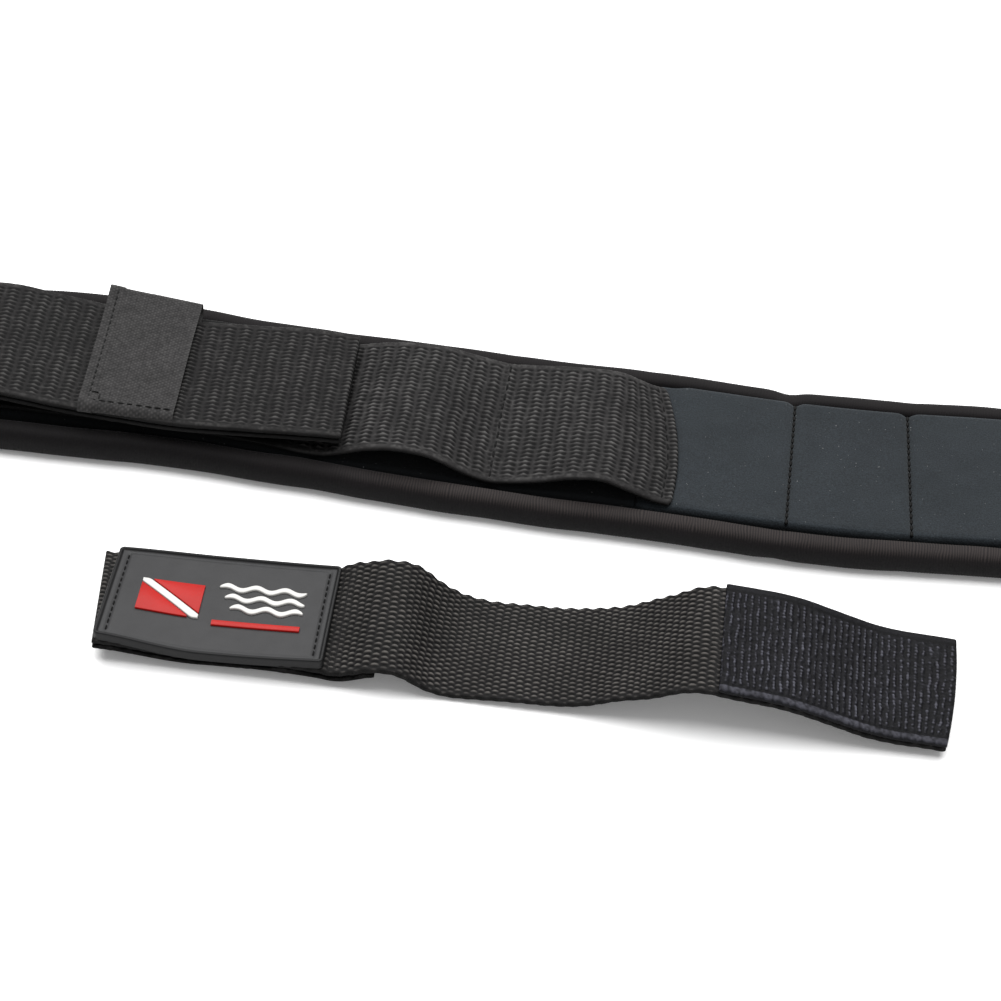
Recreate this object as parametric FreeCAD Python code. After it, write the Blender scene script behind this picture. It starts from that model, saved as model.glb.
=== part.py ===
"""Dive weight belt: quilted neoprene pad, weight pockets, quick-release buckle and loose closing strap.

Frame: X along the belt, +Y to the wearer's upper edge, +Z out of the front face.
The origin is on the pad's back face, on its centre line, at the end of the pocket webbing.
Millimetres.
"""
import FreeCAD, Part
import math
import os

V = FreeCAD.Vector

# ---- driving dimensions -------------------------------------------------------------------
WEB_W = 50.0            # belt webbing width
WEB_T = 1.6             # belt webbing thickness
POCKET_PITCH = 50.8     # weight pockets, one standard two-inch webbing each
POCKETS = 4
CHANNEL = 34.4          # quilted channel pitch
RIGHT_CHANNELS = 7
WING_CHANNELS = 4       # channels outboard of the flex seam
PANEL_HALF = 25.5       # neoprene panels, half width
PAD_HALF = 34.2         # pad with its binding, half width
BINDING_H = 9.4
BACK_T = 2.5            # back neoprene
FRONT_T = 3.5           # front neoprene
SEAM_Z = 6.0            # front face at a quilting seam
CREST_Z = 9.0           # front face at the middle of a channel
FLEX_GAP = 3.0          # gap that the flex seam closes as the wing bends
ARCH_RISE = 6.0         # open pocket, under its webbing
FLAT_RISE = 0.3         # pocket pressed flat under the buckle strap
STRAP_Z = 12.6          # underside of the buckle strap where it runs over the pockets
STRAP_GAP = 0.2         # between the two runs of the buckle strap
STRAP_END_X = -96.0
BAR_RUN = 34.0          # buckle strap between the bar and the pad
LAP_RUN = 34.0          # buckle strap sewn down on the pad
LIFT_RUN = 22.0         # buckle strap climbing on to the pocket webbing
STITCH_BOX_L = 26.0
STITCH_BOX_HALF = 20.0
BUCKLE_BAR_X = -284.0
BUCKLE_BAR_Z = 5.0
BUCKLE_BAR_R = 2.5
LEVER_PIN_X = -318.0
LEVER_PIN_Z = 9.5
LEVER_PIN_R = 2.0
PIN_CLEARANCE = 0.05
KEEPER_X0 = -171.0
KEEPER_X1 = -142.5
KEEPER_T = 1.0
KEEPER_SIDE = 0.8
KEEPER_CLEAR = 0.35
TONGUE_Z = 1.5          # underside of the folded tongue, clear of its keeper band
TONGUE_RUN = 96.0
TONGUE_KEEPER_X = 332.0
LOOSE_W = 38.0          # closing strap width
LOOSE_T = 1.9
LOOSE_Y = -85.6         # closing strap centre line, laid in front of the belt
LOOSE_TURN = 1.5        # degrees, how the closing strap lies against the belt
LOOSE_PIVOT_X = -33.0
FASTENER_T = 1.4        # loop fastener under the closing strap
HOOK_T = 1.6
BADGE_L = 62.0
BADGE_W = 37.0
THREAD_W = 0.6
THREAD_H = 0.35
SEAM_SIDE = 0.15        # how far the panel rises beside a quilting thread
STITCH = 3.0
STITCH_GAP = 1.2

POCKET_START_X = -POCKET_PITCH * POCKETS
LEFT_X = POCKET_START_X - CHANNEL
RIGHT_X = CHANNEL * RIGHT_CHANNELS
FLEX_X = RIGHT_X - CHANNEL * WING_CHANNELS
END_BINDING = PAD_HALF - PANEL_HALF
STRAP_PITCH = WEB_T + STRAP_GAP
PAD_TOP_Z = BINDING_H + 0.1   # what is sewn over the binding starts here

os.makedirs("parts", exist_ok=True)


def export(name, shapes):
    """Write one node: one solid, or a group of separate solids."""
    solids = [solid for shape in shapes for solid in shape.Solids]
    shape = solids[0] if len(solids) == 1 else Part.makeCompound(solids)
    if not shape.isValid():
        raise ValueError(name + " is not a valid shape")
    shape.exportStep("parts/" + name + ".step")
    print(name, "solids", len(solids), "volume %.1f" % shape.Volume)


def box(x0, x1, y0, y1, z0, z1):
    return Part.makeBox(x1 - x0, y1 - y0, z1 - z0, V(x0, y0, z0))


def cylinder_y(x, z, radius, y0, y1):
    return Part.makeCylinder(radius, y1 - y0, V(x, y0, z), V(0, 1, 0))


def extrude_y(edges, y0, y1):
    """Closed outline drawn in the XZ plane, pushed along Y."""
    face = Part.Face(Part.Wire(Part.__sortEdges__(edges)))
    solid = face.extrude(V(0, y1 - y0, 0))
    solid.translate(V(0, y0, 0))
    return solid


def line(a, b):
    return Part.LineSegment(V(a[0], 0, a[1]), V(b[0], 0, b[1])).toShape()


def arc(a, m, b):
    return Part.Arc(V(a[0], 0, a[1]), V(m[0], 0, m[1]), V(b[0], 0, b[1])).toShape()


def polygon(points):
    return [line(a, b) for a, b in zip(points, points[1:] + points[:1])]


# ---- ribbons: straight runs joined by tangent arcs, seen from the side ----------------------
def walk(start, heading, moves):
    """States (x, z, heading) at the joints of a side view path; a move is (length, turn)."""
    states = [(start[0], start[1], math.radians(heading))]
    for length, turn in moves:
        x, z, angle = states[-1]
        bend = math.radians(turn)
        chord = length if bend == 0 else 2 * length / bend * math.sin(bend / 2)
        middle = angle + bend / 2
        states.append((x + chord * math.cos(middle), z + chord * math.sin(middle), angle + bend))
    return states


def beside(state, offset):
    """The point at this distance to the left of the path."""
    x, z, angle = state
    return (x - offset * math.sin(angle), z + offset * math.cos(angle))


def side_edges(states, moves, offset):
    edges = []
    for first, last, (length, turn) in zip(states, states[1:], moves):
        a = beside(first, offset)
        b = beside(last, offset)
        if turn == 0:
            edges.append(line(a, b))
        else:
            half = walk((first[0], first[1]), math.degrees(first[2]), [(length / 2, turn / 2)])[-1]
            edges.append(arc(a, beside(half, offset), b))
    return edges


def ribbon(start, heading, moves, low, high, y0, y1):
    """Band between two offsets of a side view path."""
    states = walk(start, heading, moves)
    edges = side_edges(states, moves, low) + side_edges(states, moves, high)
    edges.append(line(beside(states[0], low), beside(states[0], high)))
    edges.append(line(beside(states[-1], low), beside(states[-1], high)))
    return extrude_y(edges, y0, y1)


def step_up(rise, run):
    """Two equal arcs that climb by rise over run and end level."""
    turn = 2 * math.atan2(rise, run)
    radius = run / 2 / math.sin(turn)
    length = abs(radius * turn)
    bend = math.degrees(turn)
    return [(length, bend), (length, -bend)]


# ---- thread ---------------------------------------------------------------------------------
def stitches(x0, y0, x1, y1, z):
    """Surface threads of a straight seam, laid on height z."""
    length = math.hypot(x1 - x0, y1 - y0)
    count = max(1, int(length // (STITCH + STITCH_GAP)))
    pitch = length / count
    angle = math.degrees(math.atan2(y1 - y0, x1 - x0))
    threads = []
    for k in range(count):
        thread = box(0, STITCH, -THREAD_W / 2, THREAD_W / 2, 0, THREAD_H)
        thread.translate(V(k * pitch + (pitch - STITCH) / 2, 0, 0))
        thread.rotate(V(0, 0, 0), V(0, 0, 1), angle)
        thread.translate(V(x0, y0, z))
        threads.append(thread)
    return threads


def box_stitch(x0, x1, y0, y1, z):
    """The square of thread that holds a webbing end."""
    inset = STITCH / 2
    threads = stitches(x0 + inset, y0, x1 - inset, y0, z) + stitches(x0 + inset, y1, x1 - inset, y1, z)
    return threads + stitches(x0, y0 + inset, x0, y1 - inset, z) + stitches(x1, y0 + inset, x1, y1 - inset, z)


# ---- pad ------------------------------------------------------------------------------------
def seam_positions():
    left = [LEFT_X]
    pockets = [POCKET_START_X + POCKET_PITCH * k for k in range(POCKETS + 1)]
    right = [CHANNEL * k for k in range(1, RIGHT_CHANNELS + 1)]
    return left + pockets + right


def quilted_panel(seams, x0, x1):
    """Front neoprene: arched over each channel, pinched to the back at each seam."""
    top = []
    bottom = []
    for a, b in zip(seams, seams[1:]):
        middle = (a + b) / 2
        top.append(arc((a, SEAM_Z), (middle, CREST_Z), (b, SEAM_Z)))
        bottom.append(arc((a, BACK_T), (middle, CREST_Z - FRONT_T), (b, BACK_T)))
    first, last = seams[0], seams[-1]
    ends = [line((first, BACK_T), (first, SEAM_Z)), line((last, BACK_T), (last, SEAM_Z))]
    panel = extrude_y(top + bottom + ends, -PANEL_HALF, PANEL_HALF)
    return panel.common(box(x0, x1, -PAD_HALF, PAD_HALF, 0, 2 * CREST_Z))


def shot_pouch(a, b):
    """Thin pouch of lead shot that fills one channel."""
    inset = 3.0
    width = b - a
    rise = CREST_Z - FRONT_T - BACK_T
    radius = ((width / 2) ** 2 + rise ** 2) / (2 * rise)
    half = width / 2 - inset
    edge_z = BACK_T + math.sqrt(radius ** 2 - half ** 2) - (radius - rise)
    clear = 0.1
    a_in, b_in, middle = a + inset, b - inset, (a + b) / 2
    outline = [
        line((a_in, BACK_T), (b_in, BACK_T)),
        line((b_in, BACK_T), (b_in, edge_z - clear)),
        arc((b_in, edge_z - clear), (middle, BACK_T + rise - clear), (a_in, edge_z - clear)),
        line((a_in, edge_z - clear), (a_in, BACK_T)),
    ]
    return extrude_y(outline, -PANEL_HALF + inset, PANEL_HALF - inset)


def binding_face(direction):
    """Section of the knit binding, open side towards the panels, in the YZ plane."""
    inner = PANEL_HALF * direction
    outer = PAD_HALF * direction
    straight = outer - direction * BINDING_H / 2
    points = [V(0, inner, 0), V(0, straight, 0), V(0, outer, BINDING_H / 2)]
    points += [V(0, straight, BINDING_H), V(0, inner, BINDING_H)]
    edges = [Part.LineSegment(points[0], points[1]).toShape()]
    edges.append(Part.Arc(points[1], points[2], points[3]).toShape())
    edges.append(Part.LineSegment(points[3], points[4]).toShape())
    edges.append(Part.LineSegment(points[4], points[0]).toShape())
    return Part.Face(Part.Wire(edges))


def long_binding(direction, x0, x1):
    solid = binding_face(direction).extrude(V(x1 - x0, 0, 0))
    solid.translate(V(x0, 0, 0))
    return solid


def end_binding(x_panel, direction):
    """Binding across a pad end, between the two long ones."""
    solid = binding_face(1).extrude(V(2 * PANEL_HALF, 0, 0))
    solid.translate(V(-PANEL_HALF, -PANEL_HALF, 0))
    solid.rotate(V(0, 0, 0), V(0, 0, 1), -90 * direction)
    solid.translate(V(x_panel, 0, 0))
    return solid


def make_pad():
    seams = seam_positions()
    pad_seams = [x for x in seams if x <= FLEX_X]
    wing_seams = [x for x in seams if x >= FLEX_X]
    pad_x1 = FLEX_X - FLEX_GAP / 2
    wing_x0 = FLEX_X + FLEX_GAP / 2
    export("front_panel", [quilted_panel(pad_seams, LEFT_X, pad_x1)])
    export("wing_front_panel", [quilted_panel(wing_seams, wing_x0, RIGHT_X)])
    export("back_panel", [box(LEFT_X, pad_x1, -PANEL_HALF, PANEL_HALF, 0, BACK_T)])
    export("wing_back_panel", [box(wing_x0, RIGHT_X, -PANEL_HALF, PANEL_HALF, 0, BACK_T)])
    export("shot_pouches", [shot_pouch(a, b) for a, b in zip(pad_seams, pad_seams[1:])])
    export("wing_shot_pouches", [shot_pouch(a, b) for a, b in zip(wing_seams, wing_seams[1:])])
    left_end = LEFT_X - END_BINDING
    right_end = RIGHT_X + END_BINDING
    export("upper_binding", [long_binding(1, left_end, pad_x1)])
    export("lower_binding", [long_binding(-1, left_end, pad_x1)])
    export("wing_upper_binding", [long_binding(1, wing_x0, right_end)])
    export("wing_lower_binding", [long_binding(-1, wing_x0, right_end)])
    export("left_end_binding", [end_binding(LEFT_X, -1)])
    export("right_end_binding", [end_binding(RIGHT_X, 1)])
    margin = 1.5
    open_seams = [x for x in seams if 0 < x < FLEX_X]
    threads = []
    for x in open_seams:
        threads += stitches(x, -PANEL_HALF + margin, x, PANEL_HALF - margin, SEAM_Z + SEAM_SIDE)
    export("quilting_thread", threads)
    threads = []
    for x in wing_seams[1:-1]:
        threads += stitches(x, -PANEL_HALF + margin, x, PANEL_HALF - margin, SEAM_Z + SEAM_SIDE)
    export("wing_quilting_thread", threads)


# ---- pocket webbing -------------------------------------------------------------------------
def make_pockets():
    half_sewn = 2.0
    top = []
    bottom = []
    z_low = CREST_Z
    z_high = CREST_Z + WEB_T
    x_start = POCKET_START_X - half_sewn
    x_end = half_sewn
    x = x_start
    for k in range(POCKETS):
        rise = FLAT_RISE if k < POCKETS / 2 else ARCH_RISE
        a = POCKET_START_X + POCKET_PITCH * k + half_sewn
        b = a + POCKET_PITCH - 2 * half_sewn
        middle = (a + b) / 2
        bottom += [line((x, z_low), (a, z_low)), arc((a, z_low), (middle, z_low + rise), (b, z_low))]
        top += [line((x, z_high), (a, z_high)), arc((a, z_high), (middle, z_high + rise), (b, z_high))]
        x = b
    bottom.append(line((x, z_low), (x_end, z_low)))
    top.append(line((x, z_high), (x_end, z_high)))
    ends = [line((x_start, z_low), (x_start, z_high)), line((x_end, z_low), (x_end, z_high))]
    export("pocket_webbing", [extrude_y(top + bottom + ends, -WEB_W / 2, WEB_W / 2)])
    threads = []
    for k in range(POCKETS + 1):
        seam = POCKET_START_X + POCKET_PITCH * k
        threads += stitches(seam, -WEB_W / 2 + 1, seam, WEB_W / 2 - 1, z_high)
    export("pocket_thread", threads)
    # firm tape under each seam, which fills the hollow between the webbing and the pinched panel
    tapes = []
    for k in range(POCKETS + 1):
        seam = POCKET_START_X + POCKET_PITCH * k
        tapes.append(box(seam - 1.0, seam + 1.0, -WEB_W / 2, WEB_W / 2, SEAM_Z + 0.6, CREST_Z))
    export("seam_tape", tapes)


# ---- buckle strap ---------------------------------------------------------------------------
def make_buckle_strap():
    inner = BUCKLE_BAR_R + 0.3
    outer = inner + WEB_T
    low_z = BUCKLE_BAR_Z - outer        # underside of the lower run at the bar
    lap_x = BUCKLE_BAR_X + BAR_RUN
    lift = step_up(STRAP_Z - PAD_TOP_Z, LIFT_RUN)
    flat = (STRAP_END_X - lap_x - LAP_RUN - LIFT_RUN, 0)
    over_pad = [(LAP_RUN, 0)] + lift + [flat]
    lower_moves = step_up(PAD_TOP_Z - low_z, BAR_RUN) + over_pad
    lower_run = ribbon((BUCKLE_BAR_X, low_z), 0, lower_moves, 0, WEB_T, -WEB_W / 2, WEB_W / 2)
    upper_start = BUCKLE_BAR_Z + inner
    upper_rise = PAD_TOP_Z + STRAP_PITCH - upper_start
    upper_moves = step_up(upper_rise, BAR_RUN) + over_pad
    upper_run = ribbon((BUCKLE_BAR_X, upper_start), 0, upper_moves, 0, WEB_T, -WEB_W / 2, WEB_W / 2)
    ring = cylinder_y(BUCKLE_BAR_X, BUCKLE_BAR_Z, outer, -WEB_W / 2, WEB_W / 2)
    ring = ring.cut(cylinder_y(BUCKLE_BAR_X, BUCKLE_BAR_Z, inner, -WEB_W, WEB_W))
    fold = ring.common(box(BUCKLE_BAR_X - 2 * outer, BUCKLE_BAR_X, -WEB_W, WEB_W, -outer, 3 * outer))
    webbing = fold.fuse([lower_run, upper_run]).removeSplitter()
    export("buckle_strap", [webbing])
    x0 = lap_x + 6.0
    top_z = PAD_TOP_Z + STRAP_PITCH + WEB_T
    half = STITCH_BOX_HALF
    export("buckle_strap_thread", box_stitch(x0, x0 + STITCH_BOX_L, -half, half, top_z))


def band_round(x0, x1, z_low, z_high):
    """Closed textile band round a stack of webbing, and the height of its front face."""
    half = WEB_W / 2 + KEEPER_SIDE
    z0 = z_low - KEEPER_CLEAR
    z1 = z_high + KEEPER_CLEAR
    outside = box(x0, x1, -half - KEEPER_T, half + KEEPER_T, z0 - KEEPER_T, z1 + KEEPER_T)
    inside = box(x0 - 1, x1 + 1, -half, half, z0, z1)
    return outside.cut(inside), z1 + KEEPER_T


def make_keeper():
    band, front_z = band_round(KEEPER_X0, KEEPER_X1, STRAP_Z, STRAP_Z + STRAP_PITCH + WEB_T)
    export("keeper", [band])
    inset = 2.6
    low_y = -WEB_W / 2 - KEEPER_SIDE - KEEPER_T + inset
    high_y = WEB_W / 2 - 1.0
    threads = stitches(KEEPER_X0 + inset, low_y, KEEPER_X0 + inset, high_y, front_z)
    threads += stitches(KEEPER_X0 + 2 * inset, low_y, KEEPER_X1 - inset, low_y, front_z)
    export("keeper_thread", threads)


# ---- quick-release buckle -------------------------------------------------------------------
def make_buckle():
    ear_in = 27.0
    ear_out = 29.2
    nose_x = -342.0
    base_end = -296.0
    heel_x = BUCKLE_BAR_X + 6.0
    base_t = 2.0
    ear_top = 12.5
    outline = polygon([
        (nose_x, 0), (heel_x, 0), (heel_x, 8.0), (heel_x - 6, ear_top), (nose_x + 14, ear_top),
        (nose_x, 5.0),
    ])
    ears = [extrude_y(outline, ear_in, ear_out), extrude_y(outline, -ear_out, -ear_in)]
    base = box(nose_x, base_end, -ear_in, ear_in, 0, base_t)
    lip = box(nose_x, nose_x + 3.0, -ear_in, ear_in, base_t, base_t + 1.2)
    frame = base.fuse([lip] + ears)
    for x, z, radius in ((BUCKLE_BAR_X, BUCKLE_BAR_Z, BUCKLE_BAR_R), (LEVER_PIN_X, LEVER_PIN_Z, LEVER_PIN_R)):
        frame = frame.cut(cylinder_y(x, z, radius, -WEB_W, WEB_W))
    export("buckle_frame", [frame.removeSplitter()])
    head = 1.0
    bar = cylinder_y(BUCKLE_BAR_X, BUCKLE_BAR_Z, BUCKLE_BAR_R, -ear_out, ear_out)
    export("buckle_bar", [bar])
    pin = cylinder_y(LEVER_PIN_X, LEVER_PIN_Z, LEVER_PIN_R, -ear_out, ear_out)
    for y in (-ear_out - head, ear_out):
        pin = pin.fuse(cylinder_y(LEVER_PIN_X, LEVER_PIN_Z, LEVER_PIN_R + 1.2, y, y + head))
    export("lever_pin", [pin.removeSplitter()])
    lever_half = 26.4
    barrel_r = 4.2
    lobe_low = base_t + 0.7
    handle_z = LEVER_PIN_Z + barrel_r
    barrel = cylinder_y(LEVER_PIN_X, LEVER_PIN_Z, barrel_r, -lever_half, lever_half)
    lobe = extrude_y(polygon([
        (LEVER_PIN_X - 3.6, LEVER_PIN_Z - 1.0), (LEVER_PIN_X - 1.5, lobe_low), (LEVER_PIN_X + 1.5, lobe_low),
        (LEVER_PIN_X + 3.6, LEVER_PIN_Z - 1.0),
    ]), -lever_half + 2, lever_half - 2)
    handle_end = LEVER_PIN_X + 20.0
    handle = box(LEVER_PIN_X, handle_end, -lever_half, lever_half, handle_z - 1.8, handle_z)
    tab = ribbon((handle_end, handle_z - 1.8), 0, [(4.0, 28.0), (2.0, 0)], 0, 1.8, -14.0, 14.0)
    lever = barrel.fuse([lobe, handle, tab])
    hole = cylinder_y(LEVER_PIN_X, LEVER_PIN_Z, LEVER_PIN_R + PIN_CLEARANCE, -WEB_W, WEB_W)
    lever = lever.cut(hole)
    export("cam_lever", [lever.removeSplitter()])


# ---- tongue: free webbing at the other end, folded up ---------------------------------------
def make_tongue():
    lap_start = RIGHT_X - 28.0
    lap = END_BINDING + 31.0
    inner = 0.2
    layer = WEB_T + 2 * inner
    out_fold = (math.pi * (WEB_T + inner), 180)
    back_fold = (math.pi * inner, -180)
    moves = [(lap, 0)] + step_up(TONGUE_Z - PAD_TOP_Z, 36.0)
    moves += [(TONGUE_RUN, 0), out_fold, (TONGUE_RUN - 12.0, 0), back_fold, (TONGUE_RUN - 26.0, 0)]
    webbing = ribbon((lap_start, PAD_TOP_Z), 0, moves, 0, WEB_T, -WEB_W / 2, WEB_W / 2)
    export("tongue_webbing", [webbing])
    half = STITCH_BOX_HALF
    threads = box_stitch(lap_start + 3.0, RIGHT_X - 3.0, -half, half, PAD_TOP_Z + WEB_T)
    export("tongue_thread", threads)
    stack_top = TONGUE_Z + 2 * layer + WEB_T
    band, _ = band_round(TONGUE_KEEPER_X, TONGUE_KEEPER_X + 20.0, TONGUE_Z, stack_top)
    export("tongue_keeper", [band])


# ---- closing strap --------------------------------------------------------------------------
BADGE_SIDE = [(64.5, 0), (5.4, 22.0), (5.2, 0), (9.5, -58.0), (6.0, 0), (13.24, 33.4), (12.27, 0)]
BADGE_SIDE_START = (-149.5, FASTENER_T)
BADGE_SIDE_HEADING = 2.6
HOOK_SIDE_A = [(6.5, 0), (36.0, 31.0), (7.2, 0), (9.2, -38.0)]
HOOK_SIDE_B = [(12.0, 0), (13.0, -12.0), (14.0, 0), (13.5, 14.0), (12.0, 0)]
FOLD_GAP = 0.4


def turned(shape):
    """Closing strap pieces are drawn parallel to the belt and then turned a little."""
    shape.rotate(V(LOOSE_PIVOT_X, LOOSE_Y, 0), V(0, 0, 1), LOOSE_TURN)
    return shape


def loose_ribbon(start, heading, moves, low, high, half):
    return ribbon(start, heading, moves, low, high, LOOSE_Y - half, LOOSE_Y + half)


def make_closing_strap():
    half = LOOSE_W / 2
    webbing = loose_ribbon(BADGE_SIDE_START, BADGE_SIDE_HEADING, BADGE_SIDE, 0, LOOSE_T, half)
    export("strap_badge_end", [turned(webbing)])
    fastener = loose_ribbon(BADGE_SIDE_START, BADGE_SIDE_HEADING, BADGE_SIDE[:3], -FASTENER_T, 0, half)
    export("loop_fastener", [turned(fastener)])
    end = walk(BADGE_SIDE_START, BADGE_SIDE_HEADING, BADGE_SIDE)[-1]
    hook_start = (end[0] + FOLD_GAP, 0.0)
    moves = HOOK_SIDE_A + HOOK_SIDE_B
    webbing = loose_ribbon(hook_start, 0, moves, 0, LOOSE_T, half)
    export("strap_hook_end", [turned(webbing)])
    crest = walk(hook_start, 0, HOOK_SIDE_A)[-1]
    heading = math.degrees(crest[2])
    patch = loose_ribbon((crest[0], crest[1]), heading, HOOK_SIDE_B, LOOSE_T, LOOSE_T + HOOK_T, half)
    export("hook_patch", [turned(patch)])


def rounded_plate(length, width, corner, low, high):
    plate = Part.makeBox(length, width, high - low, V(0, -width / 2, low))
    upright = [edge for edge in plate.Edges if abs(edge.Vertexes[0].Z - edge.Vertexes[1].Z) > 0.1]
    return plate.makeFillet(corner, upright)


def place_on_badge(shape):
    shape.rotate(V(0, 0, 0), V(0, 1, 0), -BADGE_SIDE_HEADING)
    inset = 2.5
    angle = math.radians(BADGE_SIDE_HEADING)
    x = BADGE_SIDE_START[0] + inset * math.cos(angle)
    z = BADGE_SIDE_START[1] + inset * math.sin(angle)
    shape.translate(V(x, LOOSE_Y, z))
    return turned(shape)


def make_badge():
    low = LOOSE_T
    face = low + 3.0
    rim_top = face + 0.8
    rim_w = 1.8
    plate = rounded_plate(BADGE_L, BADGE_W, 2.0, low, rim_top)
    recess = rounded_plate(BADGE_L - 2 * rim_w, BADGE_W - 2 * rim_w, 1.2, face, rim_top + 1)
    recess.translate(V(rim_w, 0, 0))
    export("badge", [place_on_badge(plate.cut(recess))])
    flag_x0, flag_x1, flag_y = 8.0, 25.0, 6.5
    raise_by = 0.7
    flag = box(flag_x0, flag_x1, -flag_y, flag_y, face, face + raise_by)
    cut_half = 1.5
    stripe_edges = [
        V(flag_x0 - 1, flag_y + 1, face - 1), V(flag_x1 + 1, -flag_y - 1, face - 1),
    ]
    run = stripe_edges[1].sub(stripe_edges[0])
    across = V(-run.y, run.x, 0).normalize().multiply(cut_half)
    corners = [stripe_edges[0].add(across), stripe_edges[1].add(across)]
    corners += [stripe_edges[1].sub(across), stripe_edges[0].sub(across)]
    band = Part.Face(Part.makePolygon(corners + corners[:1])).extrude(V(0, 0, 3))
    red = flag.cut(band)
    bar = box(30.0, 53.0, -8.0, -6.0, face, face + raise_by)
    export("badge_emblem_red", [place_on_badge(red), place_on_badge(bar)])
    stripe = flag.common(band)
    stripe.scale(0.97, V((flag_x0 + flag_x1) / 2, 0, face))
    waves = []
    for row in range(3):
        y = 5.0 - 4.0 * row
        waves.append(box(30.0 + 2 * row, 53.0, y - 0.8, y + 0.8, face, face + raise_by))
    export("badge_emblem_white", [place_on_badge(stripe)] + [place_on_badge(w) for w in waves])
    inset = 3.4
    threads = []
    y = BADGE_W / 2 - inset
    x0, x1 = inset, BADGE_L - inset
    for thread in box_stitch(x0, x1, -y, y, face):
        threads.append(place_on_badge(thread))
    export("badge_thread", threads)


make_pad()
make_pockets()
make_buckle_strap()
make_keeper()
make_buckle()
make_tongue()
make_closing_strap()
make_badge()
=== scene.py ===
import math

import bpy
import numpy as np
from mathutils import Matrix, Vector


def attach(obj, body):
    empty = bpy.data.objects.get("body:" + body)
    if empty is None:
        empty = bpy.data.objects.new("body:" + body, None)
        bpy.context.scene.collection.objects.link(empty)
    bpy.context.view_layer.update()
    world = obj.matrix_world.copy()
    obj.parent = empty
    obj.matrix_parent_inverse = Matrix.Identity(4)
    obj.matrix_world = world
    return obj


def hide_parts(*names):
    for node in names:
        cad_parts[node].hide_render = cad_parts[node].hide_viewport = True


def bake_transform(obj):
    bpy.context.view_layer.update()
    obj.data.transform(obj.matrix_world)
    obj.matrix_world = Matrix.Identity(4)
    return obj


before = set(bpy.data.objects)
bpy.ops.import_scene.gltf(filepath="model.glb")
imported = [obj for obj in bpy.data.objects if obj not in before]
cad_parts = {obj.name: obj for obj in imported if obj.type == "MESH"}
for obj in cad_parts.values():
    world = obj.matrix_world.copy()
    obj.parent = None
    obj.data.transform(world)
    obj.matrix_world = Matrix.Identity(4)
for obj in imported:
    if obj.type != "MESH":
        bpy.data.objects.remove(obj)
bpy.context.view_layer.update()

MM = 0.001

# ---- sizes in millimetres, as in the CAD ------------------------------------------------------
WEB_HALF = 25.0
WEB_T = 1.6
POCKET_PITCH = 50.8
CHANNEL = 34.4
PANEL_HALF = 26.2
PANEL_HIGH, PANEL_LOW = 25.7, 28.3     # the panel's edges from the pad's centre line, as it lies
SEAM_Z = 6.9
FLEX_X = 103.2
LEFT_X = -237.6
RIGHT_X = 240.8
PAD_ENDS = (-246.3, 249.5)
BAR_X, BAR_Z, BAR_R = -284.0, 5.0, 2.5
STRAP_END_X = -95.2
PAD_TOP_Z = 9.5
LOOSE_HALF = 19.0
LOOSE_T = 1.9
LOOSE_Y = -85.6
LOOSE_PIVOT_X = -33.0
LOOSE_TURN = 1.5
BADGE_SIDE = [(64.5, 0), (5.4, 22.0), (5.2, 0), (9.5, -58.0), (6.0, 0), (13.24, 33.4), (12.27, 0)]
BADGE_START, BADGE_HEADING = (-149.5, 1.4), 2.6
HOOK_SIDE = [(6.5, 0), (36.0, 31.0), (7.2, 0), (9.2, -38.0),
             (12.0, 0), (13.0, -12.0), (14.0, 0), (13.5, 14.0), (12.0, 0)]
FOLD_X = -36.07
POCKET_SEAM_X = -9.0    # pad seam out of sight under the end of the pocket webbing
SEAMS = ([LEFT_X] + [-POCKET_PITCH * k for k in (4, 3, 2, 1)] + [POCKET_SEAM_X]
         + [CHANNEL * k for k in range(1, 8)])
BEND_FROM, BEND_TO = 2 * CHANNEL, 4 * CHANNEL      # the pad bends between these


# ---- curves and noise -------------------------------------------------------------------------
def through(points, at):
    """A smooth curve through (position, value) pairs, read at positions."""
    t, v = np.array(points, float).T
    slope = np.gradient(v, t)
    q = np.clip(at, t[0], t[-1])
    i = np.clip(np.searchsorted(t, q, side="right") - 1, 0, len(t) - 2)
    h = t[i + 1] - t[i]
    u = (q - t[i]) / h
    return ((2 * u**3 - 3 * u**2 + 1) * v[i] + (u**3 - 2 * u**2 + u) * h * slope[i]
            + (3 * u**2 - 2 * u**3) * v[i + 1] + (u**3 - u**2) * h * slope[i + 1])


def rise(low, high, value):
    """0 below low, 1 above high, smooth between."""
    u = np.clip((value - low) / (high - low), 0, 1)
    return u * u * (3 - 2 * u)


def lumps(a, b, size, seed):
    """Smooth seeded noise from -1 to 1 over two coordinates."""
    count = 61
    grid = np.random.default_rng(seed).uniform(-1, 1, (count, count))
    a, b = np.broadcast_arrays(np.asarray(a, float) / size, np.asarray(b, float) / size)
    i, j = np.floor(a).astype(int), np.floor(b).astype(int)
    u, v = a - i, b - j
    u, v = u * u * (3 - 2 * u), v * v * (3 - 2 * v)
    i0, j0, i1, j1 = i % count, j % count, (i + 1) % count, (j + 1) % count
    return (grid[i0, j0] * (1 - u) * (1 - v) + grid[i1, j0] * u * (1 - v)
            + grid[i0, j1] * (1 - u) * v + grid[i1, j1] * u * v)


def walk(start, heading, moves, step=0.1):
    """Points of a side view path of straight runs and arcs; a move is (length, turn)."""
    x, z, angle = start[0], start[1], math.radians(heading)
    points = [(x, z)]
    for length, turn in moves:
        count = max(1, int(round(length / step)))
        bend = math.radians(turn) / count
        for _ in range(count):
            x += length / count * math.cos(angle + bend / 2)
            z += length / count * math.sin(angle + bend / 2)
            angle += bend
            points.append((x, z))
    return np.array(points)


def lengths(points):
    """Length walked at each point of a path."""
    return np.concatenate([[0], np.cumsum(np.linalg.norm(np.diff(points, axis=0), axis=1))])


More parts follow.
